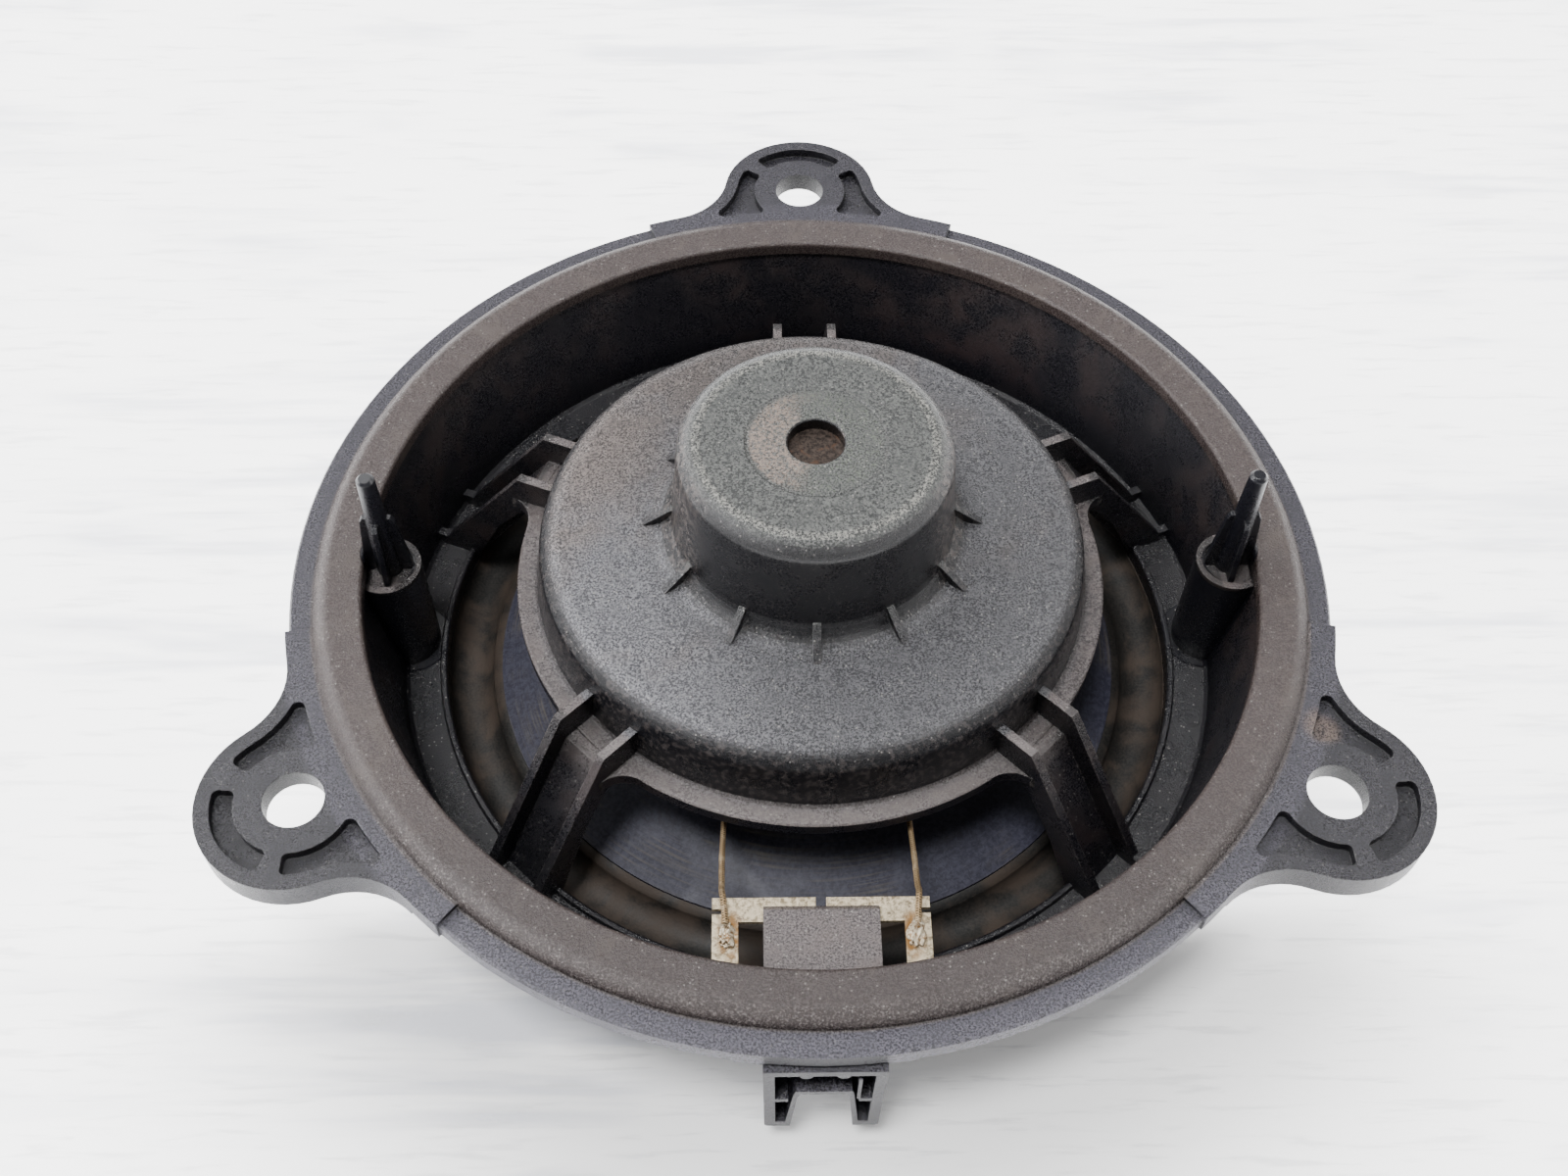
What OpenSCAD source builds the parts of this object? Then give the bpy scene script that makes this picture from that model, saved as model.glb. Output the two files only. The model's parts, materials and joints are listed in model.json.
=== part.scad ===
// Coaxial car door speaker with a moulded plastic basket and three mounting ears.
//
// The basket is one moulding, kept here as the pieces that it is made of: a
// flange with ears, a deep bowl that runs forward from it, five channel-shaped
// spokes, a closed rear housing round the spider and the motor, two pillars
// with locating pegs, a terminal block and a plug shroud. The cone, coil,
// spider and surround travel along Z. A small tweeter stands on a post in
// front of the cone.
//
// Frame: origin on the speaker's axis in the plane of the flange's rear face,
// +Z towards the motor at the back, +Y towards the single ear opposite the
// electrical connector. The front gasket faces -Z.

/* [Flange and ears] */
// Outer radius of the round flange
flange_r = 82.5; // [82:0.1:83]
// Thickness of the flange
flange_t = 3.3; // [3:0.1:3.6]
// Diameter of the circle through the ear holes
ear_pcd = 175; // [174.5:0.1:175.5]
// Diameter of each ear hole
ear_hole_d = 9; // [8:0.1:9.5]
// Radius of the ear round its hole
ear_r = 14.2; // [14:0.1:14.6]
// Radius of the concave blend between ear and flange
ear_blend_r = 12; // [11:0.5:13]
// Height of the ear's pad above the flange
pad_h = 0.7; // [0.5:0.1:0.9]
// Half angle of the raised flange sector at each ear
pad_half_angle = 20; // [19:1:22]
// Depth of the pockets in the ear's rear face
pocket_depth = 1.6; // [1.2:0.1:1.8]

/* [Rim and bowl] */
// Outer radius of the raised rim at its foot
rim_foot_r = 78.8; // [78.6:0.1:79]
// Height of the raised rim
rim_h = 2.5; // [2.3:0.1:2.7]
// Inner radius of the rim's lip
rim_lip_r = 70.9; // [70.8:0.1:71]
// Inner radius of the bowl at the floor ledge
bowl_floor_r = 68; // [67.8:0.1:68.1]
// Height of the floor ledge's upper face
ledge_z = -22.3; // [-22.5:0.1:-22.1]
// Inner radius of the floor ledge
ledge_r = 61.2; // [61:0.1:61.4]

/* [Spider housing] */
// Radius of the housing's side wall at the shoulder
can_r = 43; // [42.8:0.1:43.2]
// Height of the housing's flat rear face
can_top_z = 8.8; // [8.6:0.1:9]
// Outer radius of the skirt round the housing
skirt_r = 47.2; // [47:0.1:47.4]
// Height of the skirt's rear face
skirt_z = -2.15; // [-2.3:0.05:-2]

/* [Motor] */
// Radius of the motor boss at its foot
boss_foot_r = 21.7; // [21.6:0.1:21.9]
// Radius of the motor boss at its shoulder
boss_top_r = 20.8; // [20.7:0.1:20.9]
// Height of the motor boss
boss_z = 28.5; // [28.3:0.1:28.7]
// Diameter of the hole in the boss
boss_hole_d = 8.5; // [8:0.1:9]
// Outer radius of the steel motor cup
cup_r = 18.8; // [18.7:0.1:18.9]
// Radius of the motor's pole plate
pole_r = 14.6; // [14.5:0.05:14.7]
// Radius of the voice coil former's outer face
former_r = 15.3; // [15.25:0.05:15.35]

/* [Spokes] */
// Distance from a spoke's centre line to the middle of each rib
rib_offset = 4.75; // [4.5:0.05:5]
// Thickness of each rib
rib_t = 1.5; // [1.4:0.1:1.7]

/* [Pegs] */
// Distance of each locating peg from the axis
peg_r = 67.6; // [67.4:0.1:67.8]
// Height of a peg's tip
peg_z = 20.3; // [19:0.1:21]
// Diameter of a peg at its tip
peg_tip_d = 2.8; // [2.6:0.1:3]

/* [Connector and terminals] */
// Half width of the connector shroud at its top
shroud_x = 8.44; // [8.3:0.02:8.6]
// Distance of the shroud's open face from the axis
shroud_y = 83; // [82.9:0.1:83.4]
// Height of the shroud's lower end
shroud_bottom_z = -25.5; // [-26:0.1:-25]
// Distance from the centre plane to a terminal's outer edge
terminal_x = 15.4; // [15.2:0.1:15.6]
// Thickness of the terminal strip
terminal_t = 0.8; // [0.7:0.1:0.9]

/* [Cone and suspension] */
// Outer radius of the cone
cone_r = 52.2; // [52:0.1:52.4]
// Height of the cone's outer edge
cone_edge_z = -24.2; // [-24.3:0.1:-24.1]
// Thickness of the cone's paper
cone_t = 0.6; // [0.5:0.1:0.7]
// Depth of the surround's roll
roll_depth = 3.6; // [3.2:0.1:3.8]
// Height of the gasket's front face
front_z = -31; // [-31.5:0.1:-31]

/* [Tweeter] */
// Outer radius of the tweeter housing
tweeter_r = 17.2; // [17:0.1:17.4]
// Height of the tweeter housing's rear face
tweeter_back_z = -19; // [-19:0.1:-18.8]
// Radius of the tweeter's dome
dome_r = 9.95; // [9.9:0.05:10]

/* [Hidden] */
$fn = 96;

// Colours
plastic = [0.13, 0.13, 0.14];
steel = [0.42, 0.36, 0.31];
nickel = [0.62, 0.62, 0.60];
tin = [0.80, 0.76, 0.66];
solder_grey = [0.62, 0.57, 0.46];
braid = [0.60, 0.47, 0.26];
paper = [0.10, 0.10, 0.11];
rubber = [0.12, 0.11, 0.10];
foam = [0.16, 0.16, 0.16];
cloth = [0.60, 0.46, 0.22];
copper = [0.62, 0.33, 0.16];
amber = [0.55, 0.33, 0.12];
silk = [0.16, 0.15, 0.17];
sleeve = [0.09, 0.11, 0.22];

// Ears
ear_angles = [90, 210, 330];
ear_centre = ear_pcd / 2;
pad_r = flange_r + 0.4;
pad_border = 2.3;
ear_land_r = 8.6;
ear_plate_t = 3.5;
ear_skirt_t = 4.8;
ear_root_r = 78;
ear_web_start = 43;
ear_web_end = 59;
ear_hub = [ear_centre, 0];
pocket_root_r = 81.4;
pocket_round = 1.1;
corner_lap = 0.03;
// Moulding mark on one web of each lower ear: 1 or -1 gives its side, 0 none
ear_disc_sides = [0, -1, 1];
ear_disc_r = 2.15;
ear_disc_h = 0.03;
ear_disc_at = [6.8, 8.2];
// Centre of the concave blend, from the two circles that it touches
blend_d = pad_r + ear_blend_r;
blend_e = ear_r + ear_blend_r;
blend_x = (blend_d * blend_d - blend_e * blend_e + ear_centre * ear_centre) / (2 * ear_centre);
blend_y = sqrt(blend_d * blend_d - blend_x * blend_x);

// Bowl
wall_t = 2.3;
bowl_top_r = rim_lip_r + 0.4;
ledge_t = 2.5;
bowl_front_z = -29.5;
ledge_under_z = ledge_z - ledge_t;
bowl_top_z = -0.45;
bowl_foot_z = bowl_front_z + 0.4;
rim_round = 2.8;
channel_r = 74.8;
channel_w = 3;
channel_ribs = 24;
channel_rib_t = 1.2;
ledge_disc_r = 1.6;
ledge_disc_at = 65.6;
ledge_disc_h = 0.15;
ledge_disc_angles = [-165, -15];

// Housing
can_round = 4;
can_wall = 2;
skirt_t = 2.3;
skirt_under_z = skirt_z - skirt_t;
boss_round = 3.2;
recess_r = 10.4;
recess_h = 0.15;
foot_round = 4.2;
gussets = 12;
gusset_t = 1.2;
gusset_foot_r = 27;
gusset_root_z = 12.9;
cup_back_z = 26.3;
cup_open_z = 8;
cup_wall = 2.5;
cup_floor_z = 22.3;
pole_front_z = 9.5;
pole_rear_z = 14.5;
coil_front_z = 7;
coil_rear_z = 17;

// Spokes: the quarter turn at the terminals has none
spoke_angles = [90, 157.5, 225, 315, 22.5];
rib_crest_z = 3;
rib_knee_r = 49.5;
rib_foot_r = 66;
rib_foot_z = -20;
web_knee_r = 49;
skirt_blend_r = 5;

// Pillars under the pegs
pillar_r = 5.66;
pillar_x = 68.3;
pillar_top_z = -2;
pillar_lip_h = 0.6;
pillar_lip_t = 1.2;

// Terminals and connector
terminal_top_z = -3;
terminal_w = 3.7;
terminal_in_y = 58;
block_x = 8.2;
block_y = 59.4;
block_top_z = -2;
pin_x = 3;
pin_w = 2.3;
pin_z = -8.4;
pin_tip_y = 77;
shroud_top_z = -4;
shroud_roof = 1.5;
shroud_wall = 1.6;
shroud_floor_z = -11.4;
arch_x = 3.6;
wing_x = 12.3;
wing_t = 1.1;

// Suspension
neck_z = -8;
collar_r = 16.6;
spider_r = 46.4;
spider_land_r = 42.3;
spider_t = 0.5;
spider_waves = 6;
surround_t = 0.5;
surround_out_r = 67.8;
surround_glue_r = 62;
roll_mid_r = 57.4;
roll_half_w = 4.2;

// Leads: points along each route on the +X side
lead_d = 0.9;
lead_route = [[13.5, -62.2, -2.5], [13.7, -60, -2.45], [13.9, -58, -2.45], [14.05, -56.6, -3.6],
              [14.1, -54.6, -5.6], [14.1, -48, -8], [13.6, -38, -9.4], [12.8, -30, -9.2],
              [12.1, -25.3, -10.3], [12.1, -22.9, -12.1]];
tweeter_lead_d = 1.1;
tweeter_lead_route = [[12, -21.6, -14.4], [11.4, -19.2, -15.6], [10.2, -15, -15.6],
                      [8.4, -11.2, -16], [7.7, -9.9, -17.3], [7.7, -9.9, -18.9]];
eyelet_r = 24.6;
eyelet_angle = 60.5;

// Tweeter stack, counted forward from the housing's floor
tw_wall = 1.4;
tw_floor_z = tweeter_back_z - tw_wall;
tw_yoke_r = 11.5;
tw_yoke_t = 1.2;
tw_yoke_front_z = tw_floor_z - 4.4;
tw_magnet_r = 8.6;
tw_magnet_front_z = tw_floor_z - 3.4;
tw_pole_r = 9.2;
tw_ring_z = tw_floor_z - 5.2;
tw_ring_t = 1;
tw_dome_h = 2.4;
tw_dome_t = 0.3;
tw_front_z = -30.2;
tw_grille_t = 1;
post_r = 3.2;
post_foot_r = 8;

// Points of an arc about [x, y], angles in degrees
function arc(x, y, r, a, b, n = 10) =
  [for (i = [0:n]) let (t = a + (b - a) * i / n) [x + r * cos(t), y + r * sin(t)]];

// Catmull-Rom curve through points p, with n steps in each span
function at(p, i) = p[max(0, min(len(p) - 1, i))];
function blend3(a, b, c, d, t) =
  0.5 * (2 * b + (c - a) * t + (2 * a - 5 * b + 4 * c - d) * t * t
         + (3 * b - a - 3 * c + d) * t * t * t);
function curve(p, n = 5) = concat(
  [for (i = [0:len(p) - 2], k = [0:n - 1])
    blend3(at(p, i - 1), p[i], p[i + 1], at(p, i + 2), k / n)],
  [p[len(p) - 1]]);

// Height of the cone's rear face at radius r
function cone_z(r) =
  let (t = (r - former_r) / (cone_r - former_r)) neck_z + (cone_edge_z - neck_z) * t - 1.2 * sin(180 * t);

// Round tube of diameter d swept along points p that run mostly along Y
module tube(p, d, sides = 8) {
  last = len(p) - 1;
  rings = [for (i = [0:last])
    let (step = p[min(last, i + 1)] - p[max(0, i - 1)],
         t = step / norm(step),
         raw = cross(t, [1, 0, 0]),
         u = raw / norm(raw),
         v = cross(t, u))
    [for (k = [0:sides - 1]) p[i] + d / 2 * (cos(360 * k / sides) * u + sin(360 * k / sides) * v)]];
  polyhedron(
    points = [for (ring = rings) each ring],
    faces = concat(
      [[for (k = [0:sides - 1]) k]],
      [[for (k = [0:sides - 1]) last * sides + sides - 1 - k]],
      [for (i = [0:last - 1], k = [0:sides - 1])
        let (a = i * sides + k, b = i * sides + (k + 1) % sides)
        [b, a, a + sides, b + sides]]));
}

// ---- Basket ----

// Outline of an ear on +X, drawn inward by inset
module ear_outline(inset) {
  difference() {
    union() {
      translate([ear_centre, 0]) circle(r = ear_r - inset);
      difference() {
        polygon([[0, 0], [blend_x, -blend_y], [ear_centre, 0], [blend_x, blend_y]]);
        for (side = [-1, 1]) {
          translate([blend_x, side * blend_y]) circle(r = ear_blend_r + inset);
        }
      }
    }
    circle(r = ear_root_r);
  }
}

// Wedge with its point at the origin, between two angles
module wedge(a, b, r) {
  polygon(concat([[0, 0]], arc(0, 0, r, a, b, 6)));
}

// The point where two circles cross that is nearer to q
function crossing(c1, r1, c2, r2, q) =
  let (d = norm(c2 - c1), u = (c2 - c1) / d,
       x = (d * d + r1 * r1 - r2 * r2) / (2 * d),
       h = sqrt(r1 * r1 - x * x) * [-u[1], u[0]],
       a = c1 + x * u + h, b = c1 + x * u - h)
  norm(a - q) < norm(b - q) ? a : b;

// What a pocket's corner near q loses when it is rounded. The corner lies between
// two circles, and s is 1 where the pocket is outside its circle, -1 where inside.
module corner_loss(c1, r1, s1, c2, r2, s2, q) {
  p = crossing(c1, r1 + s1 * pocket_round, c2, r2 + s2 * pocket_round, q);
  corner = crossing(c1, r1, c2, r2, q);
  t1 = (p - c1) * r1 / norm(p - c1) + c1;
  t2 = (p - c2) * r2 / norm(p - c2) + c2;
  difference() {
    polygon([p, p + 1.3 * (t1 - p), p + 1.5 * (corner - p), p + 1.3 * (t2 - p)]);
    translate(p) circle(r = pocket_round + corner_lap);
  }
}

// Corners of the pockets on both sides of one web
module web_corners(side, disc_side) {
  far = 400;
  outline_r = ear_r - pad_border;
  disc = ear_hub + [ear_disc_at[0], side * ear_disc_at[1]];
  for (edge = [[ear_web_start, 1], [ear_web_end, -1]]) {
    a = side * edge[0];
    away = side * edge[1] * [-sin(a), cos(a)];
    centre = side == disc_side ? disc : ear_hub + far * away;
    r = side == disc_side ? ear_disc_r : far;
    inward = [cos(a - 9 * side * edge[1]), sin(a - 9 * side * edge[1])];
    corner_loss(centre, r, 1, ear_hub, ear_land_r, 1, ear_hub + (ear_land_r + 1) * inward);
    corner_loss(centre, r, 1, ear_hub, outline_r, -1, ear_hub + (outline_r - 1) * inward);
  }
}

// The three sunk areas in an ear's rear face
module ear_pockets(disc_side) {
  difference() {
    ear_outline(pad_border);
    circle(r = pocket_root_r);
    translate(ear_hub) circle(r = ear_land_r);
    for (side = [-1, 1]) {
      if (side == disc_side) {
        translate(ear_hub + [ear_disc_at[0], side * ear_disc_at[1]]) circle(r = ear_disc_r);
      } else {
        translate(ear_hub) rotate(side * (ear_web_start + ear_web_end) / 2)
          wedge((ear_web_start - ear_web_end) / 2, (ear_web_end - ear_web_start) / 2, 20);
      }
      web_corners(side, disc_side);
      corner_loss([0, 0], pocket_root_r, 1, ear_hub, ear_land_r, 1, ear_hub + [-5, 8 * side]);
      corner_loss([0, 0], pocket_root_r, 1,
                  [blend_x, side * blend_y], ear_blend_r + pad_border, 1, ear_hub);
    }
  }
}

module ear_solid() {
  translate([0, 0, pad_h - ear_skirt_t]) linear_extrude(ear_skirt_t) ear_outline(0);
  translate([0, 0, 0.2 - flange_t]) linear_extrude(flange_t + pad_h - 0.2) {
    intersection() {
      difference() {
        circle(r = pad_r);
        circle(r = ear_root_r);
      }
      wedge(-pad_half_angle, pad_half_angle, 2 * pad_r);
    }
  }
}

module ear_cuts(disc_side) {
  translate([0, 0, pad_h - pocket_depth]) linear_extrude(pocket_depth + 1) ear_pockets(disc_side);
  translate([ear_centre, 0, -10]) cylinder(d = ear_hole_d, h = 20);
  translate([0, 0, pad_h - ear_skirt_t - 1]) linear_extrude(1 + ear_skirt_t - ear_plate_t) {
    difference() {
      ear_outline(pad_border - 0.2);
      circle(r = 80.4);
    }
  }
}

// Outer radius of the bowl's wall at height z
function wall_r(z) =
  let (t = (z - bowl_foot_z) / (bowl_top_z - bowl_foot_z))
  bowl_floor_r + wall_t + (bowl_top_r + 0.35 - bowl_floor_r) * t;

// Flange and raised rim in one turned section
module flange_section() {
  polygon(concat(
    [[rim_lip_r, -0.2]],
    arc(rim_lip_r + 0.7, rim_h - 0.95, 0.7, 180, 95, 5),
    arc(rim_foot_r - rim_round, rim_h - rim_round, rim_round, 90, 7, 10),
    [[rim_foot_r, 0], [flange_r - 0.4, 0]],
    [[flange_r, -0.4], [flange_r, 0.3 - flange_t], [flange_r - 0.3, -flange_t]],
    [[wall_r(-flange_t), -flange_t], [wall_r(bowl_top_z), bowl_top_z], [bowl_top_r, bowl_top_z]]));
}

// Bowl wall and floor ledge in one turned section
module bowl_section() {
  polygon([
    [bowl_top_r, bowl_top_z], [wall_r(bowl_top_z), bowl_top_z], [wall_r(bowl_foot_z), bowl_foot_z],
    [wall_r(bowl_foot_z) - 0.4, bowl_front_z], [bowl_floor_r + 0.5, bowl_front_z],
    [bowl_floor_r + 0.2, ledge_under_z], [ledge_r, ledge_under_z], [ledge_r, ledge_z + 0.5],
    [ledge_r + 0.3, ledge_z + 0.8], [ledge_r + 0.9, ledge_z + 0.8], [ledge_r + 1.2, ledge_z],
    [bowl_floor_r - 0.6, ledge_z], [bowl_floor_r, ledge_z + 0.6]]);
}

// The turned pieces, which the rest of the basket stops at
module turned_basket() {
  rotate_extrude() flange_section();
  rotate_extrude() bowl_section();
  rotate_extrude() can_section();
}

// Hollow groove under the raised rim, open to the front
module rim_channel() {
  rotate_extrude() {
    polygon([[channel_r, -flange_t - 1], [channel_r + channel_w, -flange_t - 1],
             [channel_r + channel_w - 0.8, 0.2], [channel_r + 0.6, 0.2]]);
  }
}

// Spider housing and motor boss in one turned section, open to the front
module can_section() {
  polygon(concat(
    [[boss_hole_d / 2, cup_back_z], [boss_hole_d / 2, boss_z - 0.35]],
    [[boss_hole_d / 2 + 0.2, boss_z - recess_h], [recess_r, boss_z - recess_h], [recess_r + 0.3, boss_z]],
    arc(boss_top_r - boss_round, boss_z - boss_round, boss_round, 90, 3, 10),
    arc(boss_foot_r + foot_round, can_top_z + 0.5 + foot_round, foot_round, 180, 268, 8),
    arc(can_r - can_round, can_top_z - can_round, can_round, 88, 5, 10),
    [[can_r + 0.9, skirt_z + 0.5], [can_r + 1.4, skirt_z]],
    [[skirt_r - 0.3, skirt_z], [skirt_r, skirt_z - 0.3], [skirt_r, skirt_under_z]],
    [[can_r - 1, skirt_under_z], [can_r - can_wall - 0.1, can_top_z - can_round]],
    [[can_r - can_wall - 2.2, can_top_z - can_wall], [cup_r, can_top_z - can_wall + 0.4]],
    [[cup_r, cup_back_z]]));
}

// One rib of a spoke, drawn in the plane of X and Z
module rib_profile() {
  polygon([
    [42.3, rib_crest_z], [rib_knee_r, rib_crest_z], [rib_foot_r, rib_foot_z], [69, rib_foot_z],
    [69, ledge_under_z + 0.2], [61.4, ledge_under_z + 0.2], [55, -12], [50.5, skirt_under_z - 1.7],
    [47.6, skirt_under_z], [42.3, skirt_under_z + 0.2]]);
}

module web_profile() {
  slope = (rib_foot_z - rib_crest_z) / (rib_foot_r - rib_knee_r);
  end_r = 63.6;
  end_z = skirt_z - 0.1 + slope * (end_r - web_knee_r);
  polygon([
    [42.3, skirt_z - 0.1], [web_knee_r, skirt_z - 0.1], [end_r, end_z],
    [end_r, ledge_under_z + 0.4], [61.6, ledge_under_z + 0.4], [web_knee_r - 1, skirt_under_z + 0.1],
    [42.3, skirt_under_z + 0.1]]);
}

// Channel-shaped spoke at one of the spoke angles
module spoke(angle) {
  color(plastic) difference() {
    rotate(angle) {
      for (side = [-1, 1]) {
        translate([0, side * rib_offset + rib_t / 2, 0])
          rotate([90, 0, 0])
            linear_extrude(rib_t) rib_profile();
      }
      translate([0, rib_offset, 0])
        rotate([90, 0, 0])
          linear_extrude(2 * rib_offset) web_profile();
    }
    turned_basket();
  }
}

module spoke_top() spoke(spoke_angles[0]);

module spoke_upper_left() spoke(spoke_angles[1]);

module spoke_lower_left() spoke(spoke_angles[2]);

module spoke_lower_right() spoke(spoke_angles[3]);

module spoke_upper_right() spoke(spoke_angles[4]);

// Concave corners where the skirt runs out along a spoke
module skirt_flare() {
  rib_side = rib_offset + rib_t / 2;
  cy = rib_side + skirt_blend_r;
  cx = sqrt(pow(skirt_r + skirt_blend_r, 2) - cy * cy);
  translate([0, 0, skirt_under_z + 0.05]) linear_extrude(skirt_t - 0.1) {
    for (side = [-1, 1]) {
      difference() {
        polygon([[45, side * rib_side], [cx, side * rib_side], [cx, side * cy], [44, side * cy * 44 / cx]]);
        translate([cx, side * cy]) circle(r = skirt_blend_r);
      }
    }
  }
}

// Low rib in the corner between the boss and the housing's rear face
module gusset() {
  root_r = boss_foot_r - 1.1;
  foot_z = can_top_z - 0.8;
  translate([0, gusset_t / 2, 0])
    rotate([90, 0, 0])
      linear_extrude(gusset_t)
        polygon([[root_r, foot_z], [gusset_foot_r, foot_z], [gusset_foot_r, can_top_z + 0.15],
                 [boss_foot_r + 0.3, gusset_root_z], [root_r, gusset_root_z + 0.1]]);
}

// Half-round pillar on the ledge against the bowl wall, with its peg
module pillar(angle) {
  color(plastic) difference() {
    rotate(angle) {
      intersection() {
        union() {
          translate([pillar_x, 0, ledge_z - 0.5]) cylinder(r = pillar_r, h = pillar_top_z - ledge_z + 0.5);
          translate([pillar_x, 0, pillar_top_z - 0.5]) {
            difference() {
              cylinder(r = pillar_r, h = 0.5 + pillar_lip_h);
              translate([0, 0, -1]) cylinder(r = pillar_r - pillar_lip_t, h = 3);
            }
          }
        }
        translate([0, 0, ledge_z - 1]) cylinder(r1 = bowl_floor_r + 1, r2 = bowl_top_r + 1, h = 23);
      }
      translate([peg_r, 0, 0]) peg();
    }
    turned_basket();
  }
}

module peg_left() pillar(180);

module peg_right() pillar(0);

// Tapered pin with four fins round its lower half
module peg() {
  foot_z = pillar_top_z - 0.4;
  tip_r = peg_tip_d / 2;
  fin_top_z = 11;
  fin_t = 0.9;
  translate([0, 0, foot_z]) cylinder(r1 = 2.1, r2 = tip_r, h = peg_z - 0.5 - foot_z, $fn = 32);
  translate([0, 0, peg_z - 0.5]) cylinder(r1 = tip_r, r2 = tip_r - 0.45, h = 0.5, $fn = 32);
  for (turn = [0:90:270]) {
    rotate([90, 0, turn]) translate([0, 0, -fin_t / 2])
      linear_extrude(fin_t)
        polygon([[0.4, foot_z], [4, foot_z], [3.2, pillar_top_z + 7], [2.7, fin_top_z - 1],
                 [2.2, fin_top_z], [0.4, fin_top_z]]);
  }
}

// Block that holds the terminals, bevelled on its inner edge
module terminal_block() {
  color(plastic) difference() {
    translate([-block_x, 0, 0])
      rotate([90, 0, 90])
        linear_extrude(2 * block_x)
          polygon([[-72, -11], [-72, block_top_z], [-block_y - 0.9, block_top_z],
                   [-block_y, block_top_z - 0.9], [-block_y, -7], [-block_y - 3, -11]]);
    turned_basket();
    terminal(1);
    terminal(-1);
  }
}

// Connector shroud as seen from -Y: an arch-shaped tube, open below its middle
module shroud_outline() {
  low_x = shroud_x - 0.27;
  polygon([[shroud_x, shroud_top_z], [low_x, shroud_bottom_z + 0.5], [low_x - 0.5, shroud_bottom_z],
           [4.5, shroud_bottom_z], [arch_x, shroud_floor_z - 2], [arch_x - 0.5, shroud_floor_z - 1.1],
           [0.5 - arch_x, shroud_floor_z - 1.1], [-arch_x, shroud_floor_z - 2], [-4.5, shroud_bottom_z],
           [0.5 - low_x, shroud_bottom_z], [-low_x, shroud_bottom_z + 0.5], [-shroud_x, shroud_top_z]]);
}

// Right half of the socket's bore, with a shelf in its leg and a keying ridge
module shroud_cavity_half() {
  roof_z = shroud_top_z - shroud_roof;
  leg_z = shroud_bottom_z + 1.8;
  difference() {
    polygon([[0, roof_z], [shroud_x - shroud_wall, roof_z], [shroud_x - shroud_wall - 0.25, leg_z],
             [5.2, leg_z], [arch_x + 0.6, shroud_floor_z - 1.4], [arch_x + 0.3, shroud_floor_z],
             [0, shroud_floor_z]]);
    translate([4.9, shroud_floor_z - 4]) square([3, 1.1]);
    translate([2.55, roof_z]) circle(r = 0.9, $fn = 24);
  }
}

// Plug shroud with the plate that joins it to the flange, cut clear of the bowl's bore
module plug_shroud() {
  color(plastic) difference() {
    union() {
      translate([0, -70, 0]) rotate([90, 0, 0]) linear_extrude(shroud_y - 70) shroud_outline();
      intersection() {
        translate([0, 0, shroud_top_z - 0.3]) cylinder(r = flange_r - 0.3, h = wing_t);
        translate([-wing_x, -90, shroud_top_z - 1]) cube([2 * wing_x, 20, 3]);
      }
    }
    translate([0, -74.5, 0]) rotate([90, 0, 0]) linear_extrude(12) {
      difference() {
        shroud_cavity_half();
        translate([4.6, shroud_floor_z - 3]) square([0.5, 7.6]);
      }
      mirror([1, 0]) shroud_cavity_half();
    }
    rotate_extrude() difference() {
      translate([0, -40]) square([flange_r + 0.2, 60]);
      translate([wall_r(bowl_foot_z) - 2, -40]) square([40, 40 - flange_t]);
    }
    rotate_extrude() polygon([
      [0, -40], [wall_r(bowl_foot_z), -40], [wall_r(bowl_foot_z), bowl_foot_z],
      [wall_r(bowl_top_z), bowl_top_z], [0, bowl_top_z]]);
    terminal(1);
    terminal(-1);
  }
}

// Flange with three ears, the hollow rim and the ribs that stiffen it
module basket_flange() {
  color(plastic) {
    difference() {
      union() {
        rotate_extrude() flange_section();
        for (a = ear_angles) rotate(a) ear_solid();
      }
      rim_channel();
      for (i = [0:2]) rotate(ear_angles[i]) ear_cuts(ear_disc_sides[i]);
    }
    for (i = [0:channel_ribs - 1]) {
      rotate(360 / channel_ribs * (i + 0.5))
        translate([channel_r - 0.4, -channel_rib_t / 2, 0.3 - flange_t])
          cube([channel_w + 0.6, channel_rib_t, flange_t + 0.2]);
    }
    for (i = [1, 2]) {
      rotate(ear_angles[i])
        translate([ear_centre + ear_disc_at[0], ear_disc_sides[i] * ear_disc_at[1], -1])
          cylinder(r = ear_disc_r - 0.15, h = 1 + pad_h + ear_disc_h);
    }
  }
}

// Bowl wall with its floor ledge and two moulding marks on the ledge
module basket_bowl() {
  color(plastic) difference() {
    union() {
      rotate_extrude() bowl_section();
      for (a = ledge_disc_angles) {
        rotate(a) translate([ledge_disc_at, 0, ledge_z - 0.5])
          cylinder(r = ledge_disc_r, h = 0.5 + ledge_disc_h, $fn = 32);
      }
    }
    terminal(1);
    terminal(-1);
  }
}

// Closed housing with its boss, gussets and the flares that meet the spokes
module spider_housing() {
  color(plastic) {
    rotate_extrude() can_section();
    for (a = spoke_angles) rotate(a) skirt_flare();
    for (i = [0:gussets - 1]) rotate(360 / gussets * i) gusset();
  }
}

// ---- Motor ----

module motor_cup() {
  color(steel) rotate_extrude() polygon([
    [0, cup_floor_z], [cup_r - cup_wall, cup_floor_z], [cup_r - cup_wall, cup_open_z], [cup_r, cup_open_z],
    [cup_r, cup_back_z], [0, cup_back_z]]);
}

module main_magnet() {
  magnet_r = 13.5;
  color(nickel) rotate_extrude() polygon([
    [0, pole_rear_z], [magnet_r - 0.3, pole_rear_z], [magnet_r, pole_rear_z + 0.3],
    [magnet_r, cup_floor_z - 0.3], [magnet_r - 0.3, cup_floor_z], [0, cup_floor_z]]);
}

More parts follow.
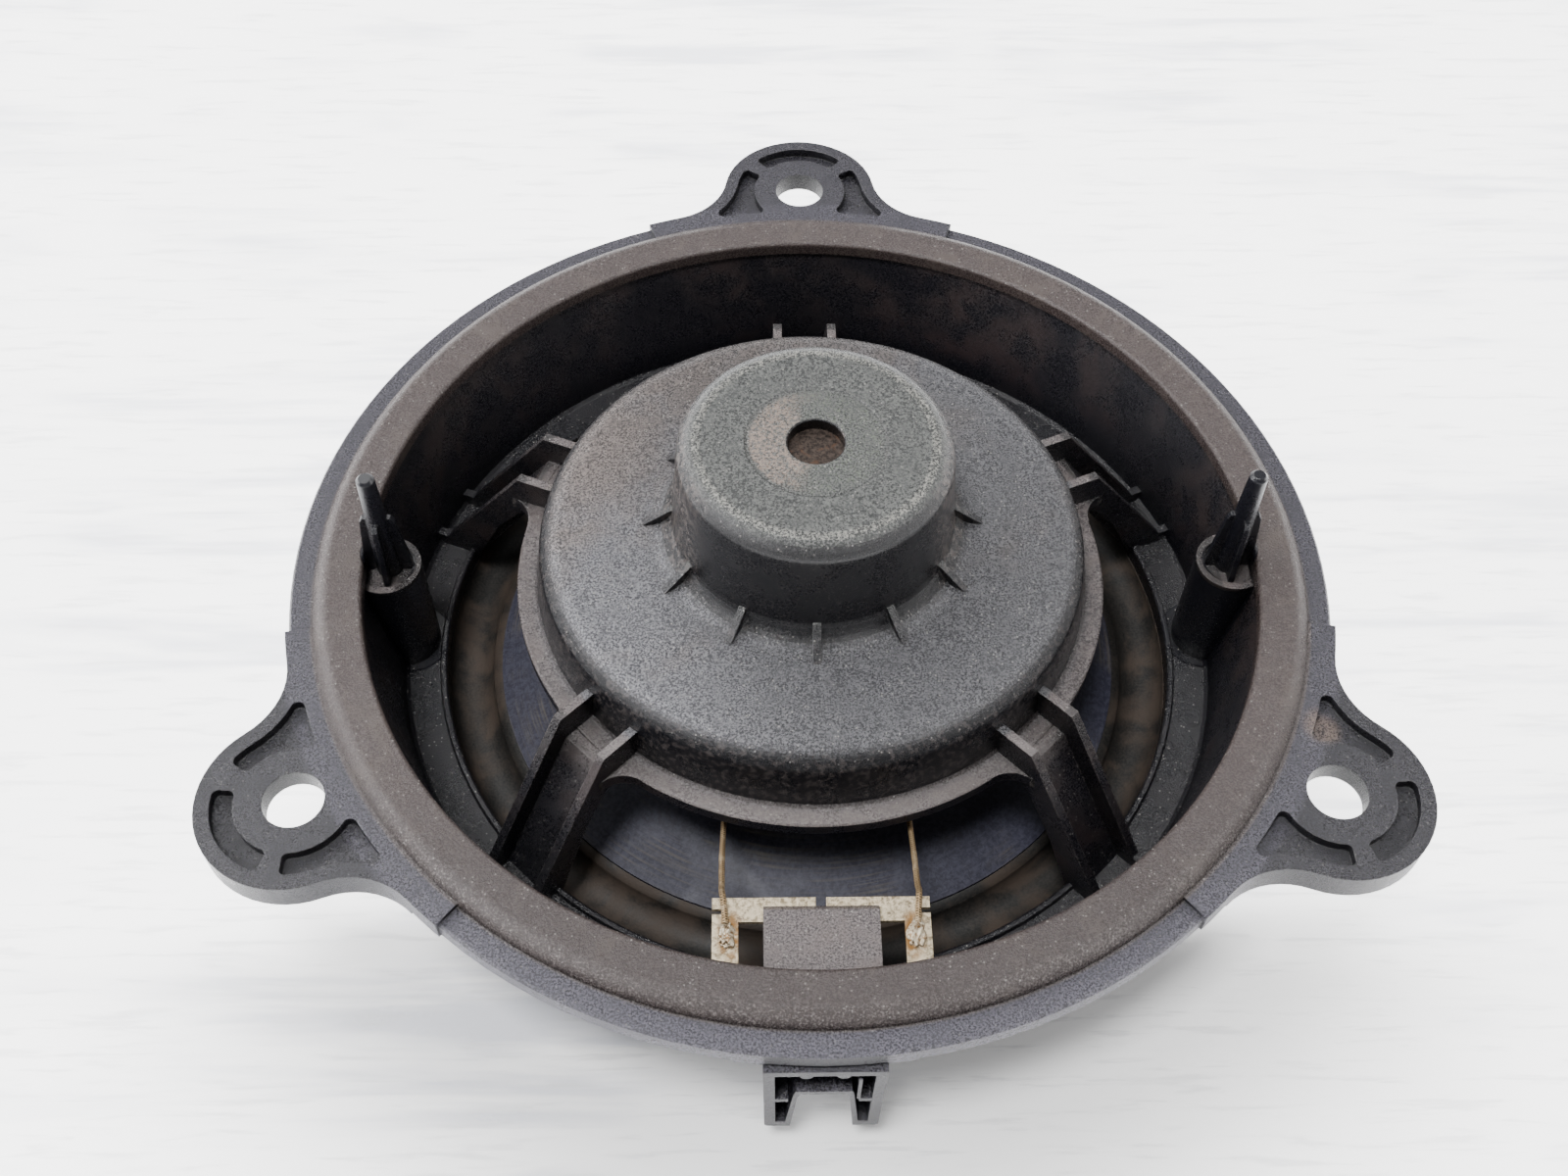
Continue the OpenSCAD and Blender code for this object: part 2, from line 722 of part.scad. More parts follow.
module pole_plate() {
  color(steel) translate([0, 0, pole_front_z]) cylinder(r = pole_r, h = pole_rear_z - pole_front_z);
}

// ---- Terminals ----

// One terminal strip, on the side given by the sign of x
module terminal(side) {
  low_z = terminal_top_z - terminal_t;
  leg_x = terminal_x - terminal_w;
  mirror([side < 0 ? 1 : 0, 0, 0]) {
    difference() {
      union() {
        translate([0.75, -terminal_in_y - terminal_w, low_z])
          cube([terminal_x - 0.75, terminal_w, terminal_t]);
        translate([leg_x, -71.2, low_z]) cube([terminal_w, 71.2 - terminal_in_y - 1, terminal_t]);
        translate([pin_x - 1.8, -65.4, low_z]) cube([3.6, 65.4 - terminal_in_y - 1, terminal_t]);
      }
      translate([terminal_x - 1.4, -60.5, low_z - 1]) cube([3, 0.8, 3]);
    }
    translate([pin_x - 1.8, -65.4, pin_z - terminal_t])
      cube([3.6, 0.8, terminal_top_z - 0.1 - pin_z + terminal_t]);
    translate([pin_x - pin_w / 2, -pin_tip_y, pin_z - terminal_t]) cube([pin_w, pin_tip_y - 65, terminal_t]);
  }
}

module terminal_left() {
  color(tin) terminal(-1);
}

module terminal_right() {
  color(tin) terminal(1);
}

// Solder over the lead's end on a terminal's leg
module solder(side) {
  color(solder_grey) difference() {
    translate([side * 13.5, -64, terminal_top_z - 0.5]) sphere(r = 1.75, $fn = 48);
    translate([side * 13.5 - 5, -70, terminal_top_z - 5]) cube([10, 12, 5]);
  }
}

module solder_left() solder(-1);

module solder_right() solder(1);

// ---- Cone and suspension ----

module front_gasket() {
  color(foam) rotate_extrude() polygon([
    [surround_glue_r, front_z + 0.5], [surround_glue_r + 0.5, front_z], [bowl_floor_r - 0.4, front_z],
    [bowl_floor_r, front_z + 0.4], [bowl_floor_r, ledge_under_z - surround_t],
    [surround_glue_r, ledge_under_z - surround_t]]);
}

// Half roll with a flat glued rim outside and a flat glued ring inside
module surround() {
  steps = 18;
  roll = [for (i = [0:steps]) let (a = 180 * i / steps)
    [roll_mid_r + roll_half_w * cos(a), ledge_under_z - 0.25 - roll_depth * sin(a)]];
  inner = [for (i = [0:steps]) let (a = 180 * (steps - i) / steps)
    [roll_mid_r + (roll_half_w - surround_t) * cos(a),
     ledge_under_z - (roll_depth - surround_t + 0.1) * sin(a)]];
  glue_z = cone_edge_z - cone_t;
  color(rubber) rotate_extrude() polygon(concat(
    [[surround_out_r, ledge_under_z], [surround_out_r, ledge_under_z - surround_t]],
    [[roll_mid_r + roll_half_w, ledge_under_z - surround_t]],
    [for (i = [1:steps - 1]) roll[i]],
    [[roll_mid_r - roll_half_w, glue_z - surround_t], [50.2, cone_z(50.2) - cone_t - surround_t]],
    [[50.2, cone_z(50.2) - cone_t], [cone_r, glue_z]],
    [for (i = [1:steps - 1]) inner[i]],
    [[roll_mid_r + roll_half_w - surround_t, ledge_under_z]]));
}

module cone() {
  steps = 16;
  radii = [for (i = [0:steps]) former_r + 0.8 + (cone_r - former_r - 0.8) * i / steps];
  color(paper) rotate_extrude() polygon(concat(
    [for (r = radii) [r, cone_z(r)]],
    [for (i = [steps:-1:0]) [radii[i], cone_z(radii[i]) - cone_t]],
    [[former_r, cone_z(radii[0]) - cone_t], [former_r, cone_z(radii[0])]]));
}

// Glue collar that ties the cone's neck to the former
module cone_collar() {
  top_z = cone_z(former_r + 0.8);
  color(amber) rotate_extrude() polygon([
    [former_r, top_z], [former_r, top_z + 1.6], [former_r + 0.5, top_z + 1.2],
    [collar_r + 0.6, cone_z(collar_r + 0.6)], [former_r + 0.8, top_z]]);
}

module voice_coil_former() {
  color(amber) translate([0, 0, neck_z - 1.6]) difference() {
    cylinder(r = former_r, h = coil_rear_z + 0.5 - neck_z + 1.6);
    translate([0, 0, -1]) cylinder(r = former_r - 0.2, h = 40);
  }
}

module voice_coil_winding() {
  color(copper) translate([0, 0, coil_front_z]) difference() {
    cylinder(r = former_r + 0.45, h = coil_rear_z - coil_front_z);
    translate([0, 0, -1]) cylinder(r = former_r, h = 20);
  }
}

// Corrugated disc glued under the skirt and round the former
module spider() {
  steps = 72;
  mid_z = skirt_under_z - spider_t;
  span = spider_land_r - former_r - 1.2;
  wave = [for (i = [0:steps]) let (t = i / steps)
    [former_r + 1.2 + span * t, mid_z - 0.95 * (1 - cos(360 * spider_waves * t)) / 2]];
  color(cloth) rotate_extrude() polygon(concat(
    [[former_r, mid_z + spider_t]],
    [for (p = wave) [p[0], p[1] + spider_t]],
    [[spider_r, mid_z + spider_t], [spider_r, mid_z]],
    [for (i = [steps:-1:0]) wave[i]],
    [[former_r, mid_z]]));
}

// Two glued dots where the leads pass through the cone
module cone_eyelets() {
  color(foam) for (side = [-1, 1]) {
    rotate(-90 + side * (90 - eyelet_angle)) intersection() {
      translate([eyelet_r, 0, cone_z(eyelet_r) - cone_t / 2]) sphere(r = 1.7, $fn = 32);
      rotate_extrude() polygon([
        [eyelet_r - 3, cone_z(eyelet_r - 3) + 0.02], [eyelet_r + 3, cone_z(eyelet_r + 3) + 0.02],
        [eyelet_r, 0]]);
    }
  }
}

// ---- Leads ----

module lead_tube() {
  tube(curve(lead_route, 5), lead_d);
}

module lead_left() {
  color(braid) mirror([1, 0, 0]) lead_tube();
}

module lead_right() {
  color(braid) lead_tube();
}

module tweeter_lead_tube() {
  tube(curve(tweeter_lead_route, 5), tweeter_lead_d);
}

module tweeter_lead_left() {
  color(sleeve) mirror([1, 0, 0]) tweeter_lead_tube();
}

module tweeter_lead_right() {
  color(sleeve) tweeter_lead_tube();
}

// ---- Tweeter ----

module tweeter_post() {
  color(nickel) rotate_extrude() polygon([
    [0, pole_front_z], [post_foot_r, pole_front_z], [post_foot_r, pole_front_z - 1.2],
    [post_r + 1, pole_front_z - 2], [post_r, pole_front_z - 3.4], [post_r, tweeter_back_z],
    [0, tweeter_back_z]]);
}

module tweeter_housing() {
  color(plastic) rotate_extrude() polygon(concat(
    [[0, tweeter_back_z], [tweeter_r - 3.6, tweeter_back_z]],
    arc(tweeter_r - 2.6, tweeter_back_z - 2.2, 2.2, 90, 10, 8),
    [[tweeter_r, tw_ring_z], [tweeter_r, tw_front_z + tw_grille_t]],
    [[tweeter_r - tw_wall, tw_front_z + tw_grille_t], [tweeter_r - tw_wall, tw_ring_z]],
    [[tweeter_r - tw_wall - 0.6, tw_ring_z], [tweeter_r - 4.2, tw_floor_z], [0, tw_floor_z]]));
}

module tweeter_yoke() {
  color(nickel) rotate_extrude() polygon([
    [0, tw_floor_z], [tw_yoke_r, tw_floor_z], [tw_yoke_r, tw_yoke_front_z],
    [tw_yoke_r - tw_yoke_t, tw_yoke_front_z], [tw_yoke_r - tw_yoke_t, tw_floor_z - tw_yoke_t],
    [0, tw_floor_z - tw_yoke_t]]);
}

module tweeter_magnet() {
  color(nickel) translate([0, 0, tw_magnet_front_z])
    cylinder(r = tw_magnet_r, h = tw_floor_z - tw_yoke_t - tw_magnet_front_z);
}

module tweeter_pole_plate() {
  color(steel) translate([0, 0, tw_yoke_front_z])
    cylinder(r = tw_pole_r, h = tw_magnet_front_z - tw_yoke_front_z);
}

// Ring that clamps the diaphragm's rim against the housing
module tweeter_clamp_ring() {
  color(plastic) translate([0, 0, tw_ring_z - tw_ring_t]) difference() {
    cylinder(r = tweeter_r - tw_wall, h = tw_ring_t);
    translate([0, 0, -1]) cylinder(r = 13, h = 4);
  }
}

// Dome with a small roll round it, drawn as one thin turned shell
module tweeter_dome() {
  steps = 12;
  cap_r = (dome_r * dome_r + tw_dome_h * tw_dome_h) / (2 * tw_dome_h);
  cap_a = asin(dome_r / cap_r);
  base_z = tw_ring_z - 0.4;
  skin = [for (i = [0:steps]) let (a = cap_a * i / steps)
    [cap_r * sin(a), base_z + cap_r * cos(cap_a) - cap_r * cos(a)]];
  roll = [for (i = [1:steps]) let (a = 180 * i / steps)
    [dome_r + 1.25 - 1.25 * cos(a), base_z - 0.8 * sin(a)]];
  line = concat(skin, roll);
  color(silk) rotate_extrude() polygon(concat(
    line,
    [for (i = [len(line) - 1:-1:0]) line[i] + [0, tw_dome_t]]));
}

module tweeter_coil() {
  color(copper) translate([0, 0, tw_ring_z - 0.1]) difference() {
    cylinder(r = dome_r, h = 2.4);
    translate([0, 0, -1]) cylinder(r = dome_r - 0.4, h = 5);
  }
}

// Flat guard with three rows of curved slots
module tweeter_grille() {
  rows = [[2.2, 4.6], [6, 8.6], [10, 12.8]];
  color(plastic) difference() {
    translate([0, 0, tw_front_z]) cylinder(r = tweeter_r, h = tw_grille_t);
    for (row = rows, i = [0:5]) {
      web_angle = 60 / row[0];
      rotate(60 * i + web_angle / 2) translate([0, 0, tw_front_z - 1])
        rotate_extrude(angle = 60 - web_angle)
          translate([row[0], 0]) square([row[1] - row[0], tw_grille_t + 2]);
    }
  }
}

// Series capacitor standing on the tweeter housing beside the post
module capacitor() {
  cap_r = 3.1;
  cap_h = 11;
  color(sleeve) translate([0, post_r + cap_r + 0.6, tweeter_back_z]) {
    cylinder(r = cap_r, h = cap_h - 0.4, $fn = 48);
    translate([0, 0, cap_h - 0.4]) cylinder(r1 = cap_r, r2 = cap_r - 0.4, h = 0.4, $fn = 48);
  }
}

basket_flange();
basket_bowl();
spider_housing();
spoke_top();
spoke_upper_left();
spoke_lower_left();
spoke_lower_right();
spoke_upper_right();
peg_left();
peg_right();
terminal_block();
plug_shroud();
motor_cup();
main_magnet();
pole_plate();
terminal_left();
terminal_right();
solder_left();
solder_right();
front_gasket();
surround();
cone();
cone_collar();
voice_coil_former();
voice_coil_winding();
spider();
cone_eyelets();
lead_left();
lead_right();
tweeter_lead_left();
tweeter_lead_right();
tweeter_post();
tweeter_housing();
tweeter_yoke();
tweeter_magnet();
tweeter_pole_plate();
tweeter_clamp_ring();
tweeter_grille();
capacitor();
tweeter_dome();
tweeter_coil();
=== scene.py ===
"""Coaxial car door speaker, seen from behind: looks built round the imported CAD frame."""
import json
import math

import bpy
import numpy as np
from mathutils import Matrix, Vector


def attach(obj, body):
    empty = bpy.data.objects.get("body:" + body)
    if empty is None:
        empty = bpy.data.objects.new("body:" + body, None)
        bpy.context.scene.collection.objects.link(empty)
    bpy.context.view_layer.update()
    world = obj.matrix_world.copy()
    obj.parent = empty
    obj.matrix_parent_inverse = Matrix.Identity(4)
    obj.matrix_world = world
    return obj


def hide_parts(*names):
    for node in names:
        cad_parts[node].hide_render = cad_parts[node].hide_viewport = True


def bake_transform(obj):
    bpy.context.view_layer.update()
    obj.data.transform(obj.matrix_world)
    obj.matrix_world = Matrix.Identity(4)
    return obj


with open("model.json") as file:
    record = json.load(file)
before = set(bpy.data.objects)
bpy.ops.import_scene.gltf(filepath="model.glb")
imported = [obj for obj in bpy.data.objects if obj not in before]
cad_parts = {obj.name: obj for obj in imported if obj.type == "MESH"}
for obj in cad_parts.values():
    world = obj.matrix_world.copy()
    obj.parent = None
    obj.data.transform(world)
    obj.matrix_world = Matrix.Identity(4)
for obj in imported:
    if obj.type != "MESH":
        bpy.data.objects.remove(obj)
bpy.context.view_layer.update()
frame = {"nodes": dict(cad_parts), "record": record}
nodes = frame["nodes"]
MM = 0.001
FLOOR_Z = -0.031
FLOOR_HALF = 2.5

# ---- Camera ----

CAMERA_TARGET = Vector((-0.00443, -0.00601, 0))
CAMERA_DISTANCE = 0.2637
CAMERA_ELEVATION = math.radians(53.97)
CAMERA_AZIMUTH = math.radians(-1.97)
CAMERA_ROLL = math.radians(1.30)
CAMERA_LENS = 38.187


def add_camera():
    """Camera above and in front of the connector, tilted slightly about its own axis."""
    back = Vector((
        math.sin(CAMERA_AZIMUTH) * math.cos(CAMERA_ELEVATION),
        -math.cos(CAMERA_AZIMUTH) * math.cos(CAMERA_ELEVATION),
        math.sin(CAMERA_ELEVATION)))
    level_right = (-back).cross(Vector((0, 0, 1))).normalized()
    level_up = level_right.cross(-back)
    c, s = math.cos(CAMERA_ROLL), math.sin(CAMERA_ROLL)
    right, up = c * level_right + s * level_up, c * level_up - s * level_right
    data = bpy.data.cameras.new("camera")
    data.lens = CAMERA_LENS
    data.sensor_width = 36
    data.clip_start = 0.01
    camera = bpy.data.objects.new("camera", data)
    bpy.context.scene.collection.objects.link(camera)
    turn = Matrix((right, up, back)).transposed().to_4x4()
    camera.matrix_world = Matrix.Translation(CAMERA_TARGET + back * CAMERA_DISTANCE) @ turn
    bpy.context.scene.camera = camera


add_camera()

# ---- Lights and floor ----

SOFTBOXES = [
    # name, place, size (m), power (W), colour; each points at the origin
    ("behind", (-0.60, 1.10, 1.20), 1.2, 16, (1, 1, 1)),
    ("overhead", (-0.26, -0.30, 1.4), 0.36, 27, (1, 1, 1)),
    ("window_left", (-1.35, 0.15, 0.45), 0.8, 25, (0.98, 0.98, 1)),
    ("window_right", (1.45, 0.10, 0.45), 0.7, 13, (1, 0.99, 0.98)),
]
# World strength rises from WORLD_DIM to WORLD_BRIGHT as the direction's y goes between these
WORLD_Y = (-0.7, 0.6)
WORLD_DIM, WORLD_BRIGHT = 0.07, 0.58


def add_softbox(name, place, size, power, colour):
    data = bpy.data.lights.new(name, "AREA")
    data.shape = "SQUARE"
    data.size = size
    data.energy = power
    data.color = colour
    light = bpy.data.objects.new(name, data)
    bpy.context.scene.collection.objects.link(light)
    aim = (-Vector(place)).to_track_quat("-Z", "Y").to_matrix().to_4x4()
    light.matrix_world = Matrix.Translation(Vector(place)) @ aim


def add_world():
    """Even pale surroundings, brighter behind the object than on the camera's side."""
    world = bpy.data.worlds.new("surroundings")
    bpy.context.scene.world = world
    world.use_nodes = True
    tree = world.node_tree
    background = tree.nodes["Background"]
    coords = tree.nodes.new("ShaderNodeTexCoord")
    split = tree.nodes.new("ShaderNodeSeparateXYZ")
    tree.links.new(coords.outputs["Generated"], split.inputs[0])
    fade = tree.nodes.new("ShaderNodeMapRange")
    fade.inputs["From Min"].default_value, fade.inputs["From Max"].default_value = WORLD_Y
    fade.inputs["To Min"].default_value = WORLD_DIM
    fade.inputs["To Max"].default_value = WORLD_BRIGHT
    tree.links.new(split.outputs["Y"], fade.inputs["Value"])
    tree.links.new(fade.outputs["Result"], background.inputs["Strength"])
    background.inputs["Color"].default_value = (0.97, 0.98, 1, 1)


for box in SOFTBOXES:
    add_softbox(*box)
add_world()


# ---- Shader builder ----

class Look:
    """One procedural material. Positions are millimetres in the part's own frame."""

    def __init__(self, name):
        self.mat = bpy.data.materials.new(name)
        self.mat.use_nodes = True
        self.tree = self.mat.node_tree
        self.tree.nodes.clear()
        output = self.node("ShaderNodeOutputMaterial")
        self.shader = self.node("ShaderNodeBsdfPrincipled")
        self.tree.links.new(self.shader.outputs[0], output.inputs[0])
        local = self.node("ShaderNodeTexCoord").outputs["Object"]
        scaled = self.node("ShaderNodeVectorMath", operation="SCALE")
        self.tree.links.new(local, scaled.inputs[0])
        scaled.inputs["Scale"].default_value = 1 / MM
        self.point = scaled.outputs[0]
        split = self.node("ShaderNodeSeparateXYZ")
        self.tree.links.new(self.point, split.inputs[0])
        self.x, self.y, self.z = split.outputs
        self.r = self.length(self.x, self.y)
        self.angle = self.math("ARCTAN2", self.y, self.x)

    def node(self, kind, **settings):
        made = self.tree.nodes.new(kind)
        for key, value in settings.items():
            setattr(made, key, value)
        return made

    def put(self, socket, value):
        if isinstance(value, bpy.types.NodeSocket):
            self.tree.links.new(value, socket)
        elif isinstance(value, tuple) and len(value) == 3 and socket.type == "RGBA":
            socket.default_value = (*value, 1)
        else:
            socket.default_value = value

    def math(self, operation, *values, clamp=False):
        made = self.node("ShaderNodeMath", operation=operation, use_clamp=clamp)
        for socket, value in zip(made.inputs, values):
            self.put(socket, value)
        return made.outputs[0]

    def mul(self, *values):
        total = values[0]
        for value in values[1:]:
            total = self.math("MULTIPLY", total, value)
        return total

    def add(self, *values):
        total = values[0]
        for value in values[1:]:
            total = self.math("ADD", total, value)
        return total

    def largest(self, *values):
        total = values[0]
        for value in values[1:]:
            total = self.math("MAXIMUM", total, value)
        return total

    def length(self, a, b):
        """Square root of a squared plus b squared."""
        return self.math("SQRT", self.add(self.mul(a, a), self.mul(b, b)))

    def invert(self, value):
        return self.math("SUBTRACT", 1.0, value)

    def step(self, value, low, high, to_low=0.0, to_high=1.0):
        """Smooth rise from to_low to to_high as value goes from low to high."""
        made = self.node("ShaderNodeMapRange", interpolation_type="SMOOTHSTEP")
        self.put(made.inputs["Value"], value)
        limits = {"From Min": low, "From Max": high, "To Min": to_low, "To Max": to_high}
        for name, number in limits.items():
            made.inputs[name].default_value = number
        return made.outputs["Result"]

    def band(self, value, low, high, soft):
        """1 between low and high, falling to 0 over soft on each side."""
        rise = self.step(value, low - soft, low)
        return self.mul(rise, self.step(value, high, high + soft, 1.0, 0.0))

    def noise(self, scale, detail=2.0, rough=0.5, distortion=0.0, vector=None):
        made = self.node("ShaderNodeTexNoise")
        self.put(made.inputs["Vector"], vector or self.point)
        made.inputs["Scale"].default_value = scale
        made.inputs["Detail"].default_value = detail
        made.inputs["Roughness"].default_value = rough
        made.inputs["Distortion"].default_value = distortion
        return made.outputs[0]

    def specks(self, scale, share):
        """Small round specks: 1 on about share of the cells."""
        made = self.node("ShaderNodeTexVoronoi")
        self.put(made.inputs["Vector"], self.point)
        made.inputs["Scale"].default_value = scale
        split = self.node("ShaderNodeSeparateXYZ")
        self.tree.links.new(made.outputs["Color"], split.inputs[0])
        chosen = self.step(split.outputs[0], 1 - share, 1 - share + 0.02)
        return self.mul(chosen, self.step(made.outputs["Distance"], 0.25, 0.45, 1.0, 0.0))

    def vector(self, x, y, z):
        made = self.node("ShaderNodeCombineXYZ")
        for socket, value in zip(made.inputs, (x, y, z)):
            self.put(socket, value)
        return made.outputs[0]

    def around(self, along=1.0, across=1.0):
        """Coordinates that run round the axis and outward, for turned streaks."""
        turned_by = self.mul(self.angle, 60.0 * along)
        return self.vector(turned_by, self.mul(self.r, across), self.mul(self.z, across))

    def mix(self, share, a, b):
        made = self.node("ShaderNodeMix", data_type="RGBA")
        self.put(made.inputs["Factor"], share)
        self.put(made.inputs[6], a)
        self.put(made.inputs[7], b)
        return made.outputs[2]

    def scaled(self, colour, factor):
        made = self.node("ShaderNodeVectorMath", operation="SCALE")
        self.tree.links.new(colour, made.inputs[0])
        self.put(made.inputs["Scale"], factor)
        return made.outputs[0]

    def open_air(self, distance_mm, tilt=None, samples=6):
        """1 in the open, falling towards 0 in corners and under other pieces."""
        made = self.node("ShaderNodeAmbientOcclusion", samples=samples)
        made.inputs["Distance"].default_value = distance_mm * MM
        if tilt is not None:
            self.put(made.inputs["Normal"], self.vector(*tilt))
        return made.outputs["AO"]

    def spot(self, x, y, radius, soft):
        """1 within radius of the point (x, y), whatever the height."""
        dx, dy = self.math("SUBTRACT", self.x, x), self.math("SUBTRACT", self.y, y)
        return self.step(self.length(dx, dy), radius, radius + soft, 1.0, 0.0)

    def up(self):
        """How far the surface faces the back of the speaker, 0 to 1."""
        split = self.node("ShaderNodeSeparateXYZ")
        self.tree.links.new(self.node("ShaderNodeNewGeometry").outputs["Normal"], split.inputs[0])
        return split.outputs[2]

    def edges(self, radius_mm, samples=4):
        """(rounded normal, mask of the edges that it rounds)"""
        bevel = self.node("ShaderNodeBevel", samples=samples)
        bevel.inputs["Radius"].default_value = radius_mm * MM
        dot = self.node("ShaderNodeVectorMath", operation="DOT_PRODUCT")
        self.tree.links.new(bevel.outputs[0], dot.inputs[0])
        self.tree.links.new(self.node("ShaderNodeNewGeometry").outputs["Normal"], dot.inputs[1])
        return bevel.outputs[0], self.step(dot.outputs["Value"], 0.80, 0.99, 1.0, 0.0)

    def bump(self, height, strength, distance_mm, normal=None):
        made = self.node("ShaderNodeBump")
        made.inputs["Strength"].default_value = strength
        made.inputs["Distance"].default_value = distance_mm * MM
        self.put(made.inputs["Height"], height)
        if normal is not None:
            self.put(made.inputs["Normal"], normal)
        self.put(self.shader.inputs["Normal"], made.outputs[0])

    def finish(self, colour, roughness, metallic=None, specular=None):
        self.put(self.shader.inputs["Base Color"], colour)
        self.put(self.shader.inputs["Roughness"], roughness)
        if metallic is not None:
            self.put(self.shader.inputs["Metallic"], metallic)
        if specular is not None:
            self.put(self.shader.inputs["Specular IOR Level"], specular)
        return self.mat


# ---- Materials ----

FLOOR_GLOW = 4.0
FLOOR_SHADE_Y = (-62.0, -38.0)  # the speaker's shade falls on the near side of this (mm)

# Where the basket's looks change (mm)
RUST_MARK = (75.9, -32.5)  # on the right ear's far pocket
EAR_HUB_R = 87.5
EAR_ANGLES = (90, 210, 330)
EAR_HOLE_LOOK_R = 4.6
FLANGE_R = 78.9
RIM_R = (70.6, 78.8)
PEG_X = 67.6
SHADED = (0.008, 0.008, 0.011)
FLUX_PLACE = (12.9, 63.8)  # each terminal's solder: how far aside and how far towards the plug


def basket_plastic():
    """Moulded black plastic: clean flange, dust-covered rim and housing, stained bowl, with painted shade,
    highlights and sheen.
    """
    k = Look("basket_plastic")
    up = k.up()
    facing = k.step(up, 0.35, 0.8)
    upright = k.step(up, 0.25, 0.6, 1.0, 0.0)
    grain = k.noise(3.0, 4, 0.78)
    coarse = k.noise(1.1, 3, 0.6)
    mottle = k.noise(0.16, 4, 0.6, 0.4)
    clouds = k.noise(0.045, 3, 0.55, 0.6)
    rough_grain = k.step(grain, 0.44, 0.58)
    normal, edge = k.edges(0.3)
    corner = k.step(k.open_air(2.2), 0.45, 0.85, 1.0, 0.0)

    flange = k.step(k.r, FLANGE_R, FLANGE_R + 0.4)
    rim = k.mul(k.band(k.r, *RIM_R, 0.3), k.band(k.z, -0.4, 2.6, 0.3))
    housing = k.mul(k.step(k.r, 44.2, 45.4, 1.0, 0.0), k.step(k.z, -3.0, -1.0))
    boss = k.mul(k.step(k.r, 22.6, 24.4, 1.0, 0.0), k.step(k.z, 9.0, 11.0))
    ledges = k.mul(facing, k.step(k.z, -6.0, -2.6))
    peg_far = k.length(k.math("SUBTRACT", k.math("ABSOLUTE", k.x), PEG_X), k.y)
    peg = k.largest(k.mul(k.step(peg_far, 3.9, 4.2, 1.0, 0.0), k.step(k.z, -1.9, -1.6)),
                    k.mul(k.step(k.z, 2.75, 2.9), k.step(k.r, 58.0, 60.0)))
    pillar = k.mul(k.step(peg_far, 6.6, 7.0, 1.0, 0.0), k.step(k.z, -2.3, -2.0, 1.0, 0.0))

    # Bowl: bare dark plastic, faint brown stains, a thin grey film and painted shade towards the bottom
    bare = k.mix(rough_grain, (0.006, 0.006, 0.009), (0.022, 0.020, 0.025))
    rust = k.mul(k.step(clouds, 0.42, 0.60), k.step(mottle, 0.35, 0.65), 0.6)
    colour = k.mix(rust, bare, (0.046, 0.028, 0.027))
    film = k.mul(k.step(k.add(clouds, k.mul(mottle, 0.5)), 0.62, 0.9), rough_grain,
                 k.step(k.z, -17.0, -10.0), 0.4)
    colour = k.mix(film, colour, (0.085, 0.076, 0.072))
    # Painted shade: colour goes near black towards the bottom of the bowl
    colour = k.mix(k.step(k.z, -20.0, -16.0, 0.85, 0.0), colour, (0.004, 0.004, 0.007))

    # Dust on every face near the rim that looks back; painted shade on the side ledges, painted highlight
    # on the near skirt
    dust = k.mix(rough_grain, (0.050, 0.042, 0.043), (0.190, 0.162, 0.158))
    dust = k.mix(k.mul(k.step(mottle, 0.45, 0.7), 0.4), dust, (0.150, 0.115, 0.102))
    off_spokes = k.largest(k.step(k.r, 47.6, 50.0, 1.0, 0.35), k.step(k.r, 58.0, 61.0))
    colour = k.mix(k.mul(ledges, off_spokes, k.step(grain, 0.2, 0.6, 0.7, 1.0)), colour, dust)
    # Painted shade: the ledges at the sides darkened
    side_ledge_shade = k.mul(ledges, k.step(k.y, -44.0, -27.0), k.band(k.r, 48.5, 66.0, 0.5))
    colour = k.scaled(colour, k.invert(k.mul(side_ledge_shade, 0.65)))
    # Painted highlight: the near part of the skirt lighter
    near_skirt_highlight = k.mul(k.band(k.r, 43.5, 50.0, 0.5), k.step(k.y, -38.0, -28.0, 1.0, 0.0), ledges)
    colour = k.mix(k.mul(near_skirt_highlight, 0.30), colour, (0.30, 0.27, 0.26))
    crests = k.mul(k.band(k.r, 48.0, 66.0, 0.5), edge, k.step(coarse, 0.4, 0.6), k.step(k.z, -19.0, -15.0))
    colour = k.mix(k.mul(crests, 0.5), colour, (0.26, 0.22, 0.20))

    # Housing: grey grained top, browner towards the far left, dark glossy side
    top_face = k.step(up, 0.72, 0.97)
    shoulder = k.mul(k.band(up, 0.45, 0.90, 0.12), k.largest(housing, boss))
    grey = k.mix(rough_grain, (0.020, 0.020, 0.024), (0.135, 0.134, 0.143))
    brown = k.mix(rough_grain, (0.017, 0.013, 0.011), (0.140, 0.110, 0.096))
    toward = k.add(k.mul(k.x, -0.004), k.mul(k.y, 0.005))
    browner = k.step(k.add(clouds, k.mul(mottle, 0.45), toward), 0.68, 1.05)
    top = k.mix(k.mul(browner, 0.8), grey, brown)
    lit_left = k.step(k.add(k.x, k.mul(k.y, 0.25)), -38.0, -8.0, 1.0, 0.0)
    top = k.scaled(top, k.add(0.94, k.mul(lit_left, 0.75)))
    side = k.mix(k.step(coarse, 0.48, 0.64), (0.006, 0.006, 0.008), (0.050, 0.043, 0.042))
    colour = k.mix(housing, colour, k.mix(top_face, side, top))
